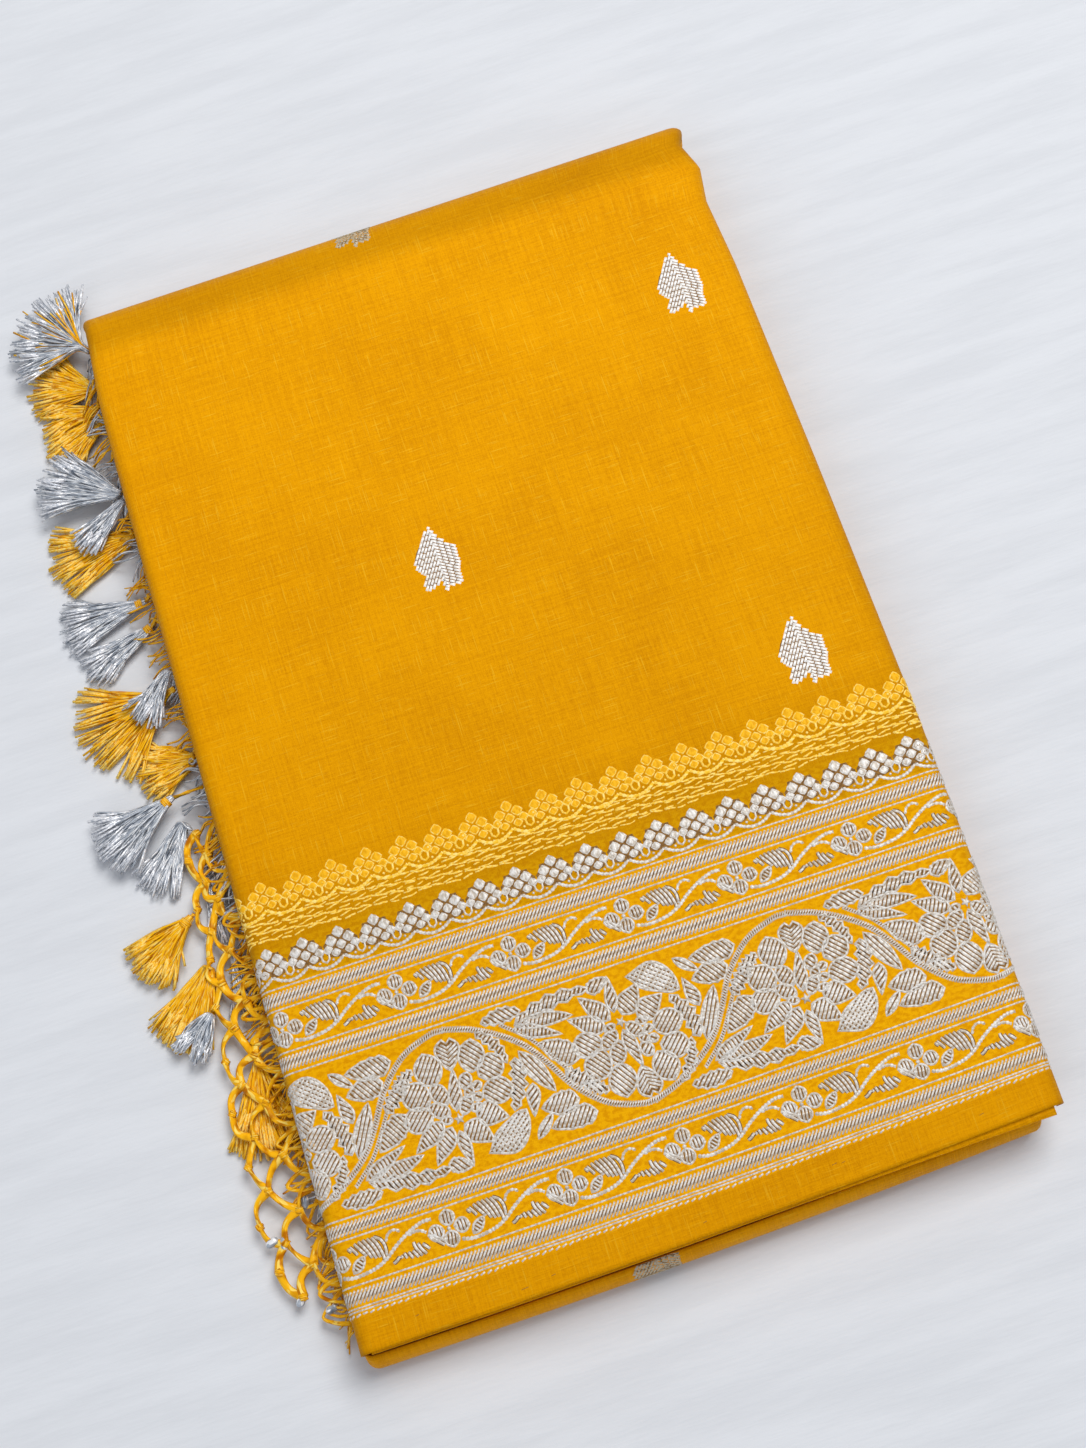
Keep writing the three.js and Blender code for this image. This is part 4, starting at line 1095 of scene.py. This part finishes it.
def build_border(paints):
    threads, ground = Stitches(), Stitches()
    for v in THIN_LINES:
        beaded(threads, [(-STITCH_END, v), (STITCH_END, v)], THIN_LINE["wide"], THIN_LINE["high"])
    for low, high in SLANTED_BANDS:
        middle = (low + high) / 2
        ground.stroke([(-STITCH_END, middle), (STITCH_END, middle)], high - low, STITCH["ground"])
        for i, u in enumerate(np.arange(-STITCH_END, STITCH_END - 3.4, BAND["pitch"])):
            uneven = STITCH["height"] * (1 + BAND["uneven"] * shake(i, 5))
            threads.stroke([(u, low), (u + BAND["lean"], high)], BAND["wide"], uneven)
    for i, u in enumerate(np.arange(-STITCH_END, STITCH_END - 2, HEM_STITCH["pitch"])):
        line = [(u, HEM_STITCH["low"] + 0.3 * shake(i, 2)), (u + HEM_STITCH["long"], HEM_STITCH["high"])]
        threads.stroke(line, HEM_STITCH["wide"], HEM_STITCH["tall"])
    for u, v, long in FLECKS:
        ground.stroke([(u, v), (u + long, v + FLECK["rise"])], FLECK["wide"], FLECK["high"])
    leaf_row(threads, ground, LEAF_ROW)
    for row in CREEPERS:
        narrow_creeper(threads, ground, row)
    wide_creeper(threads, ground)
    silver = threads.piece("border_threads", [paints["silver"]], "cloth")
    dark = ground.piece("border_ground", [paints["ground"]], "cloth")
    return silver, dark


GOLD_LINES = (130.4, 131.2, 132.1, 133.0, 133.8, 134.7, 135.5, 136.4, 137.2, 138.1)
# Their stitches: each pair is a middle value and its scatter
GOLD_LINE = {"long": (3.6, 1.6), "gap": (0.9, 0.4), "wide": (0.62, 0.12), "high": 0.2}
# The waves of a line: height, turn for each mm, and turn from one line to the next
GOLD_WAVES = ((0.55, 0.33, 1.9), (0.2, 1.1, 1))


def build_gold_band(paints):
    """The tone-on-tone row above the border: leaves and broken, wavering lines."""
    threads = Stitches()
    leaf_row(threads, None, GOLD_ROW)
    for row, v in enumerate(GOLD_LINES):
        u = -CLOTH_HALF
        i = 0
        while u < CLOTH_HALF - 3:
            long = spread(GOLD_LINE["long"], i, row)
            t = np.linspace(u, u + long, 4)
            wave = v + sum(high * np.sin(t * turn + row * shift) for high, turn, shift in GOLD_WAVES)
            width = spread(GOLD_LINE["wide"], i, row + 7)
            threads.stroke(np.stack([t, wave], axis=1), width, GOLD_LINE["high"])
            u += long + spread(GOLD_LINE["gap"], i, row + 3)
            i += 1
    return threads.piece("gold_band_threads", [paints["yellow"], paints["amber"]], "cloth")


# Outline of a small motif from its tip, clockwise
BUTTA = [
    (-0.2, 12.6), (0.8, 11.4), (1.4, 9.6), (2.5, 7.6), (3.9, 6.0), (5.4, 4.5), (7.0, 3.6), (7.0, 1.4),
    (6.8, -0.6), (7.1, -2.8), (6.4, -4.4), (5.9, -6.2), (5.9, -9.9), (4.4, -10.8), (2.3, -10.4),
    (0.8, -10.4), (-0.2, -12.0), (-0.5, -9.7), (-0.8, -7.2), (-2.0, -8.4), (-3.9, -9.4), (-6.0, -9.9),
    (-7.1, -9.0), (-6.6, -5.8), (-5.3, -4.3), (-6.6, -3.2), (-7.8, -1.2), (-8.1, 2.3), (-6.6, 5.2),
    (-4.3, 7.8), (-2.6, 9.8), (-1.3, 11.2),
]
BUTTA_STITCH = {
    "pitch": 1.05, "long": 2.3, "wide": 1.24, "past": -0.35, "right": -32, "left": 58, "flat": 0.05,
    "gap": 0.06, "uneven": 0.05, "ground": 0.94, "lift": 0.02,
}
# Places of the small motifs: u, v, size, and whether they are on the lower stretch
BUTTAS = [
    (93.5, 308.5, 1.0, False), (-16.8, 238.3, 1.0, False), (87.5, 166.8, 1.0, False),
    (-9.7, 374.0, 0.95, False), (-20.4, 772.5, 1.0, True), (90, 450, 1.0, True),
    (-17, 522, 1.0, True), (90, 592, 1.0, True), (-17, 652, 1.0, True),
]


def build_buttas(paints):
    """Small leaf-shaped motifs of broken stitches, on the outer sheet's two stretches."""
    pieces = []
    for under, name in ((False, "motifs_above"), (True, "motifs_below")):
        threads = Stitches()
        for u, v, size in [row[:3] for row in BUTTAS if row[3] == under]:
            place = np.array([u, v])
            outline = np.array(BUTTA) * size
            flat = UNDER_START < v < LOW_START
            high = BUTTA_STITCH["flat"] if flat else STITCH["height"]
            # Motifs on the top fold and the low fold take the white thread painted darker, as painted shade
            paint = 2 if TOP_LONG < v and not flat else 0
            if not flat:
                threads.patch(outline * BUTTA_STITCH["ground"] + place, BUTTA_STITCH["lift"], 1)
            for side, lean in ((1, BUTTA_STITCH["right"]), (-1, BUTTA_STITCH["left"])):
                half = outline.copy()
                half[:, 0] = np.maximum(half[:, 0] * side, 0) * side
                lines = across_outline(half, lean, BUTTA_STITCH["pitch"], BUTTA_STITCH["past"])
                for i, (a, b) in enumerate(lines):
                    parts = max(1, round(math.hypot(*(b - a)) / BUTTA_STITCH["long"]))
                    for part in range(parts):
                        uneven = BUTTA_STITCH["uneven"] * shake(i, part)
                        start = a + (b - a) * (part + BUTTA_STITCH["gap"] + uneven) / parts
                        stop = a + (b - a) * (part + 1 - BUTTA_STITCH["gap"]) / parts
                        threads.stroke([start + place, stop + place], BUTTA_STITCH["wide"], high, paint)
        pieces.append(threads.piece(name, [paints["bright"], paints["ground"], paints["shaded_white"]], "cloth"))
    return pieces


# The fringe: heading strip, knotted net and tassels, on the same places as their solids
HEADING = {"low": 7.38, "thick": 0.9, "inside": 2.6, "outside": 1.7, "end": 178, "rows": 241}
NET = {"pitch": 17.6, "first": -7, "cells": 10, "z": 5.3, "knot": 1.65}
NET_ROWS = (0, 0.38, 0.72, 1)
NET_REACH = [(-190, 14), (-150, 19.5), (-105, 19.5), (-75, 17), (-40, 13), (5, 10)]
NET_UNEVEN = {"along": 1.4, "out": 1, "high": 0.25, "in_strip": 0.3}
# A knot: its core as (place, radius) along its axis, and the thread wound round it
KNOT_CORE = [(-0.85, 0.4), (-0.4, 1.0), (0, 1.15), (0.4, 1.0), (0.85, 0.4)]
KNOT_WIND = {"turns": 2.6, "points": 30, "out": 1.12, "along": 0.62, "radius": 0.46, "flat": 0.7}
RIBBON = {
    "radius": 1.7, "flat": 0.5, "bow": 2.5, "each_side": 0.7, "uneven": 0.6, "sag": 0.8, "steps": 11,
    "slim": 0.25, "start": 0.55, "twist": 2.4,
}
# Loops of thick thread that hang from the strip; each pair is a middle value and its scatter
LOOPS = {
    "from": -14, "to": -176, "step": 5.4, "start": (0, 2), "wide": (6.3, 4.2), "out": (-5.6, -3.5),
    "sway": (0, 2.4), "down": (-3.0, -1.4), "bulge": (0, 0.6), "past": 0.9, "radius": (0.85, 0.2975),
    "flat": 0.6, "twist": (0, 4.0),
}
# Loose thin threads, which bend in groups and each by itself
LOOSE = {
    "from": 176, "to": -178, "count": 300, "reach": (6.0, 4.0), "own_reach": (0, 1.6), "swing": (-2, 5),
    "own_swing": (0, 2), "down": (-5.0, 1.6), "bend": (0, 1.5), "rise": 0.9, "radius": (0.34, 0.102),
}
# A loose thread is silver where its group's scatter is over the value for its stretch
LOOSE_SILVER = {"upper": 0.1, "middle": -0.7, "lower": 0.85, "span": (-50, -17)}

# Small silver wraps in the net: x, y, z and the way they lie; then (place, radius) along each
SPANGLES = [
    (-120.9, -137.4, 6.2, 70), (-134.6, -146.0, 5.6, 20), (-131.0, -147.5, 5.4, 80),
    (-130.6, -166.0, 5.2, 40), (-121.9, -171.4, 5.6, 15),
]
SPANGLE = [(-2.2, 0.5), (-1.5, 1.25), (-0.6, 1.5), (0.3, 1.25), (1.2, 1.45), (2.0, 0.6)]
# x, y, turn, spread, length, height of the head, strands of the solid, thread
TASSELS = [
    (-118.6, 184, 137, 112, 24, 7.9, 14, "steel"),
    (-119.3, 167, 152, 62, 21, 3.4, 12, "gold"),
    (-119.4, 157, 172, 32, 19, 3.4, 7, "gold"),
    (-119.3, 151, 206, 34, 20, 3.4, 10, "gold"),
    (-120.4, 122, 148, 46, 27, 7.9, 12, "steel"),
    (-119.5, 115, 212, 26, 19, 7.9, 6, "steel"),
    (-120.2, 104.6, 183, 46, 28, 3.4, 10, "gold"),
    (-120.6, 79.2, 181, 24, 30, 3.4, 10, "steel"),
    (-120, 69.2, 199, 14, 27, 3.4, 10, "steel"),
    (-124.7, 42.4, 197, 70, 30, 3.4, 12, "gold"),
    (-119.6, 47.5, 226, 30, 17, 8.2, 6, "steel"),
    (-119.5, 18, 178, 66, 17, 3.4, 14, "gold"),
    (-129.3, 5.3, 202, 32, 29, 7.2, 12, "steel"),
    (-128.8, -5.2, 232, 28, 23, 3.2, 10, "steel"),
    (-131.6, -32.6, 211, 38, 24, 5, 14, "gold"),
    (-134.9, -54.9, 232, 34, 25, 3.2, 20, "gold"),
    (-136.5, -68, 226, 50, 13, 6.8, 10, "steel"),
    (-119.5, -17, 263, 8, 24, 2.6, 6, "steel"),
    (-125.5, -52, 268, 18, 16, 2.4, 6, "steel"),
    (-127.8, -85, 262, 40, 27, 2.4, 14, "gold"),
]
TASSEL = {"cord": 0.7, "belly": 0.55, "length": 4.6, "skirt": 7.5, "drop": 2.4, "floor": 0.9, "low": 3}
THREADS = {
    "each": 9.0, "gold": 0.42, "steel": 0.38, "steps": 3, "least": 0.4, "uneven": 2.56, "layers": 1.8,
    "bend": (2.2, 1.3), "short": 0.78, "thin": 0.25, "taper": 0.85, "tip": 1.12,
}
# Where a thread's second point lies: share of the head's length, and of its place across
WAIST = {True: (0.6, 1.5), False: (-0.1, 2.0)}
# Tassels with a bound head: their cord, the rings round the head, and their radii
BOUND = (7, 8, 12, 14)
CORD = {"radius": 0.85, "sag": 0.3, "flat": 0.8, "twist": 3.0}
RINGS = {"count": 5, "from": 0.42, "pitch": 0.5, "points": 15, "out": 0.95, "flat": 0.82, "radius": 0.3}
GAP = 0.3
UP = np.array([0.0, 0.0, 1.0])


def strip_edge(y):
    along = min(max(y, -HEADING["end"]), HEADING["end"])
    z = HEADING["low"] + HEADING["thick"] / 2
    return settle(np.array([[-HALF_WIDE - HEADING["outside"], along, z]]), creased=False)[0]


def net_knot(row, i):
    """A knot of the net: row 0 is in the strip, and the odd rows lie half a cell on."""
    free = row > 0
    y = NET["first"] - NET["pitch"] * (i + (row % 2) / 2)
    y += shake(i, row) * NET_UNEVEN["along"] if free else 0
    out = look_up(NET_REACH, y) * NET_ROWS[row]
    root = strip_edge(y)
    slack = shake(i, row + len(NET_ROWS)) if free else 0
    down = (root[2] - NET["z"]) * math.sqrt(NET_ROWS[row]) - slack * NET_UNEVEN["high"]
    inward = slack * NET_UNEVEN["out"] if free else NET_UNEVEN["in_strip"]
    return np.array([root[0] - out + inward, y, root[2] - down])


KNOTS = [
    [net_knot(row, i) for i in range(NET["cells"] - row % 2)] for row in range(len(NET_ROWS))
]


def tie(pile, place, seed):
    """A small knot: a core and a thread wound round it."""
    way = unit(way_of(seed, 0.15))
    side = unit(np.cross(way, UP))
    top = np.cross(side, way)
    core = [place + way * NET["knot"] * t for t, _ in KNOT_CORE]
    tube(pile, core, [radius for _, radius in KNOT_CORE], 8)
    turns = np.linspace(0, TURN * KNOT_WIND["turns"], KNOT_WIND["points"])
    middle = KNOT_WIND["turns"] / 2
    wound = [place + KNOT_WIND["out"] * (math.cos(t) * side + math.sin(t) * top)
             + way * (t / TURN - middle) * KNOT_WIND["along"] for t in turns]
    tube(pile, wound, KNOT_WIND["radius"], 6, KNOT_WIND["flat"])


def net_ribbon(pile, row, i, n, side):
    """One side of a net's cell, from knot n of the row above to knot i of this row."""
    start = KNOTS[row - 1][n]
    ahead = KNOTS[row][i] - start
    t = np.linspace(0, 1, RIBBON["steps"])[:, None]
    bow = np.sin(math.pi * t)
    bent = RIBBON["bow"] * (RIBBON["each_side"] * side + RIBBON["uneven"] * shake(n, row + 20))
    path = start + ahead * t + np.cross(UP, unit(ahead)) * bow * bent - UP * RIBBON["sag"] * bow
    radii = RIBBON["radius"] * (1 - RIBBON["slim"] * bow[:, 0])
    radii *= np.linspace(RIBBON["start"] if row == 1 else 1.0, 1, len(path))
    tube(pile, path, radii, 8, RIBBON["flat"], RIBBON["twist"] * shake(i + n, row))


def hanging_loop(pile, i, y):
    start = strip_edge(y + spread(LOOPS["start"], i, 37))
    stop = strip_edge(y - spread(LOOPS["wide"], i, 32))
    hang = (spread(LOOPS["out"], i, 31), spread(LOOPS["sway"], i, 33), spread(LOOPS["down"], i, 34))
    middle = (start + stop) / 2 + hang
    down = start * 0.45 + middle * 0.55 + (spread(LOOPS["bulge"], i, 38), LOOPS["past"], 0)
    back = stop * 0.45 + middle * 0.55 - (spread(LOOPS["bulge"], i, 39), LOOPS["past"], 0)
    path = curve([start, down, middle, back, stop], 4)
    tube(pile, path, spread(LOOPS["radius"], i, 35), 6, LOOPS["flat"], spread(LOOPS["twist"], i, 36))


def loose_thread(pile, i, y):
    start = strip_edge(y)
    reach = spread(LOOSE["reach"], i // 3, 41) + spread(LOOSE["own_reach"], i, 42)
    swing = spread(LOOSE["swing"], i // 7, 43) + spread(LOOSE["own_swing"], i, 44)
    tip = start + (-reach, swing, spread(LOOSE["down"], i, 45))
    bend = (start + tip) / 2 + (0, spread(LOOSE["bend"], i, 46), LOOSE["rise"])
    low, high = LOOSE_SILVER["span"]
    stretch = "upper" if y > LOOPS["from"] else "middle" if low < y < high else "lower"
    steel = shake(i // 9, 48) > LOOSE_SILVER[stretch]
    tube(pile, curve([start, bend, tip], 4), spread(LOOSE["radius"], i, 47), 4, paint=int(steel))


def build_net(paints):
    """Twisted ribbons knotted into diamonds, hanging from a woven heading strip."""
    pile = Pile()
    ys = np.linspace(-HEADING["end"], HEADING["end"], HEADING["rows"])
    across = (-HALF_WIDE - HEADING["outside"], -HALF_WIDE + HEADING["inside"])
    x, y = np.meshgrid(across, ys)
    levels = [level_places(x, y, HEADING["low"] + thick) for thick in (HEADING["thick"], 0)]
    strip = np.stack([y.ravel(), x.ravel()], axis=1)
    pile.add(np.concatenate(levels), closed_faces(len(ys), 2), np.concatenate([strip, strip]))
    for row in range(1, len(KNOTS)):
        for i, knot in enumerate(KNOTS[row]):
            tie(pile, knot, 1.4 + shake(i, row + 9))
            near = (i, i + 1) if row % 2 else (i - 1, i)
            for n, side in zip(near, (-1, 1)):
                if 0 <= n < len(KNOTS[row - 1]):
                    net_ribbon(pile, row, i, n, side)
    for i, y in enumerate(np.arange(LOOPS["from"], LOOPS["to"], -LOOPS["step"])):
        hanging_loop(pile, i, y)
    for i, y in enumerate(np.linspace(LOOSE["from"], LOOSE["to"], LOOSE["count"])):
        loose_thread(pile, i, y)
    for x, y, z, turn in SPANGLES:
        way = way_of(math.radians(turn), 0.1)
        bead = [np.array([x, y, z]) + way * t for t, _ in SPANGLE]
        tube(pile, bead, [radius for _, radius in SPANGLE], 8, 0.8, paint=1)
    net = pile.piece("fringe_ribbons", [paints["cord"], paints["steel"]], "fringe")
    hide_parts("fringe_net")


def anchor_near(place):
    """The knot or the place on the strip that a tassel's cord is tied to."""
    options = [(strip_edge(place[1]), 0.0)]
    options += [(knot, NET["knot"]) for row in KNOTS[1:] for knot in row]
    return min(options, key=lambda option: math.hypot(*(option[0] - place)[:2]))


def tassel_places(row):
    """Start of the cord, root of the bound head and the way that a tassel points."""
    x, y, turn, _, _, z, count, _ = row
    way = way_of(math.radians(turn))
    belly = TASSEL["belly"] * math.sqrt(count)
    root = np.array([x, y, z]) - way * TASSEL["length"] / 2
    anchor, clear = anchor_near(root)
    steep = abs(anchor[2] - z) > TASSEL["cord"] * 2
    reach = clear + GAP + (TASSEL["cord"] if steep else 0)
    below = z < TASSEL["low"]
    flat = np.array([anchor[0], anchor[1], z])
    t = np.clip(np.dot(flat - root, way), 0, TASSEL["length"])
    nearest = root + way * t
    nearest[2] = anchor[2]
    if below or np.linalg.norm(nearest - anchor) < clear + belly + GAP:
        root = anchor + way * (reach + TASSEL["drop"] / 2)
        root[2] = z
    aside = unit((root - anchor) * (1, 1, 0))
    start = anchor + aside * (reach / 2 if below else reach)
    if below:
        start[2] -= reach * 0.85
    return start, root, way, belly


def build_tassel(paints, row, index):
    """A fan of fine threads that lies on the table; tassels with a bound head also get a cord and rings
    round the head.
    """
    _, _, turn, spread, long, z, count, thread = row
    start, root, way, belly = tassel_places(row)
    pile = Pile()
    side = np.cross(UP, way)
    bound = index in BOUND
    if bound:
        cord = [start, (start + root) / 2 - UP * CORD["sag"], root + way]
        tube(pile, cord, CORD["radius"], 6, CORD["flat"], CORD["twist"], paint=1)
        turns = np.linspace(0, TURN, RINGS["points"])
        for ring in range(RINGS["count"]):
            place = root + way * (TASSEL["length"] * RINGS["from"] + ring * RINGS["pitch"])
            wound = [place + way * RINGS["pitch"] * t / TURN + belly * RINGS["out"]
                     * (math.cos(t) * side + RINGS["flat"] * math.sin(t) * UP) for t in turns]
            tube(pile, wound, RINGS["radius"], 5, paint=1)
    lowest = max(z - TASSEL["drop"], TASSEL["floor"])
    total = round(count * THREADS["each"])
    together, alone = THREADS["bend"]
    along, across = WAIST[bound]
    fan = math.radians(spread) + math.asin(min(belly * 1.2 / TASSEL["skirt"], 1))
    for k in range(total):
        share = (k + 0.5) / total - 0.5 + 0.8 * shake(k, index + 3) / total
        layer = (shake(k, index + 40) + 1) / 2
        ahead = way_of(math.radians(turn) + fan * share)
        reach = long * (1 - 0.14 * abs(share)) + shake(k, index) * THREADS["uneven"]
        reach *= THREADS["short"] if shake(k, index + 60) > 0.7 else 1.0
        swing = together * shake(k // 5, index + 80) + alone * shake(k, index + 90)
        bent = np.cross(UP, ahead) * swing
        spare = side * share * belly
        rise = UP * (layer - 0.5) * belly
        base = (root if bound else start) + spare * 0.7 + rise * 0.6
        waist = root + way * TASSEL["length"] * along + spare * across + rise
        tip = root + way + ahead * reach + bent
        tip[2] = lowest + layer * THREADS["layers"]
        middle = (waist + tip) / 2 - bent * 0.7 + UP / 2
        path = curve([base, waist, middle, tip], THREADS["steps"])
        path[:, 2] = np.maximum(path[:, 2], THREADS["least"])
        thin = THREADS[thread] * (1 + THREADS["thin"] * shake(k, index + 70))
        strand = int(index == 0 and shake(k, index + 96) > 0.6)
        tube(pile, path, np.linspace(1.0, THREADS["taper"], len(path)) * thin, 4, paint=strand)
        if shake(k, index + 95) > -0.2:
            tube(pile, path[-3:], thin * THREADS["tip"], 4, paint=2)
    name = f"tassel_{index + 1:02d}"
    slot = "tassel_silver" if thread == "steel" else "tassel_gold"
    piece = pile.piece(f"{name}_threads", [paints[thread], paints["cord"], paints[f"{thread}_tip"]], slot)
    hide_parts(name)


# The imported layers' right side: folds, the z that they fill, how far they stand in from the
# side and out of it, and the corners over and under them
FOLDS = {"count": 8, "low": 8.6, "high": 14.3, "deep": 2.7, "out": 0.9, "wave": 0.45, "notch": 0.06}
BAY = {"in": 4.6, "top": 15.1, "under": 8.25, "low": 5.5}
NOSE = {"top_turn": 144, "low_turn": 122}


def side_profile(top, nose, y):
    """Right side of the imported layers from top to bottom, many thin folds deep."""
    middle = HALF_WIDE - SIDE_FOLD["radius"]
    points = [(middle + nose * math.sin(a), top - nose * (1 - math.cos(a)))
              for a in np.linspace(0, math.radians(NOSE["top_turn"]), 7)]
    bay, deep, notch = HALF_WIDE - BAY["in"], HALF_WIDE - FOLDS["deep"], FOLDS["notch"]
    points.append((bay, BAY["top"]))
    tall = (FOLDS["high"] - FOLDS["low"]) / FOLDS["count"]
    for i in range(FOLDS["count"]):
        wave = math.sin(y * 0.031 + i * 2.1) * 0.8 + 0.4 * math.sin(y * 0.11 + i)
        out = HALF_WIDE - FOLDS["out"] - FOLDS["wave"] * (1 + wave)
        z = FOLDS["high"] - tall * i
        points += [(deep, z - notch), (out, z - tall * 0.28)]
        points += [(out, z - tall * 0.72), (deep, z - tall + notch)]
    points += [(bay, BAY["under"]), (bay, BAY["low"])]
    low_nose = SIDE_FOLD["radius"] - COVER
    points += [(middle + low_nose * math.sin(a), COVER + low_nose * (1 - math.cos(a)))
               for a in np.linspace(math.radians(NOSE["low_turn"]), 0, 6)]
    return points


# Steps of the layers' ends at the low fold, as y and the height of the step
STEPS = ((-186.05, 16.2), (-185.25, 17.7), (-184.45, 19.2))
STEP_RISE = 0.02
SECOND_END = -170.02


def build_layers(paints):
    """The layers that the outer ones hide, as one rounded solid with folded edges."""
    inside = LOW_FOLD["radius"] - COVER
    count = len(side_profile(HIGH, 1, 0))

    def plain(top, low):
        x = HALF_WIDE - SIDE_FOLD["radius"] - GAP
        return [(x, z) for z in np.linspace(top, low, count)]

    def half(y):
        return math.sqrt(max(inside ** 2 - min(y - LOW_FOLD["y"], 0) ** 2, 0))

    sections = []
    for angle in np.radians(np.linspace(79, 36, 4)):
        y = LOW_FOLD["y"] - inside * math.sin(angle)
        sections.append((y, plain(LOW_FOLD["radius"] + half(y), LOW_FOLD["radius"] - half(y))))
    top = None
    for y, step in STEPS:
        low = LOW_FOLD["radius"] - half(y)
        sections.append((y - STEP_RISE, plain(top or LOW_FOLD["radius"] + half(y), low)))
        sections.append((y + STEP_RISE, plain(step, low)))
        top = step
    nose = SIDE_FOLD["radius"] - COVER
    lower = COVER + 1 + GAP
    for y in (-180, SECOND_END):
        sections.append((y, side_profile(HIGH - lower, nose - 1 - GAP, y)))
    for y in (SECOND_END + STEP_RISE, *np.linspace(-166, 171, 70)):
        sections.append((y, side_profile(HIGH - COVER, nose, y)))
    for angle in np.radians(np.linspace(0, 72, 6)):
        rise = (TOP_FOLD["half"] - COVER) * math.cos(angle)
        y = TOP_FOLD["y"] + (TOP_FOLD["reach"] - COVER) * math.sin(angle)
        sections.append((y, plain(TOP_FOLD["half"] + rise, TOP_FOLD["half"] - rise)))
    rings = []
    for y, right in sections:
        crown = [(x, right[0][1]) for x in np.linspace(0, right[0][0], 5)[:-1]]
        base = [(x, right[-1][1]) for x in np.linspace(right[-1][0], 0, 5)[1:]]
        side = [*crown, *right, *base]
        ring = side + [(-x, z) for x, z in side[1:-1][::-1]]
        rings.append([(x, y, z) for x, z in ring])
    rings = np.array(rings)
    rows, size = rings.shape[:2]
    points = settle(rings.reshape(-1, 3), creased=False)
    r, c = np.meshgrid(np.arange(rows - 1), np.arange(size), indexing="ij")
    a, b = (r * size + c).ravel(), (r * size + (c + 1) % size).ravel()
    pile = Pile()
    around = np.tile(np.arange(size) * 0.8, rows)
    places = np.stack([around, rings[:, :, 1].ravel()], axis=1)
    pile.add(points, np.stack([a, b, b + size, a + size], axis=1), places)
    pile.faces += [list(range(size))[::-1], list(range((rows - 1) * size, rows * size))]
    pile.paints += [0, 0]
    layers = pile.piece("packed_layers", [paints["inside"]], "layers")
    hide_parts("hidden_layers")
    return layers


make_camera()
paints = build_materials()
upper, under = build_sheets(paints)
second = build_second(paints)
layers = build_layers(paints)
border, ground = build_border(paints)
gold_band = build_gold_band(paints)
above, below = build_buttas(paints)
build_net(paints)
for index, row in enumerate(TASSELS):
    build_tassel(paints, row, index)
build_stage()
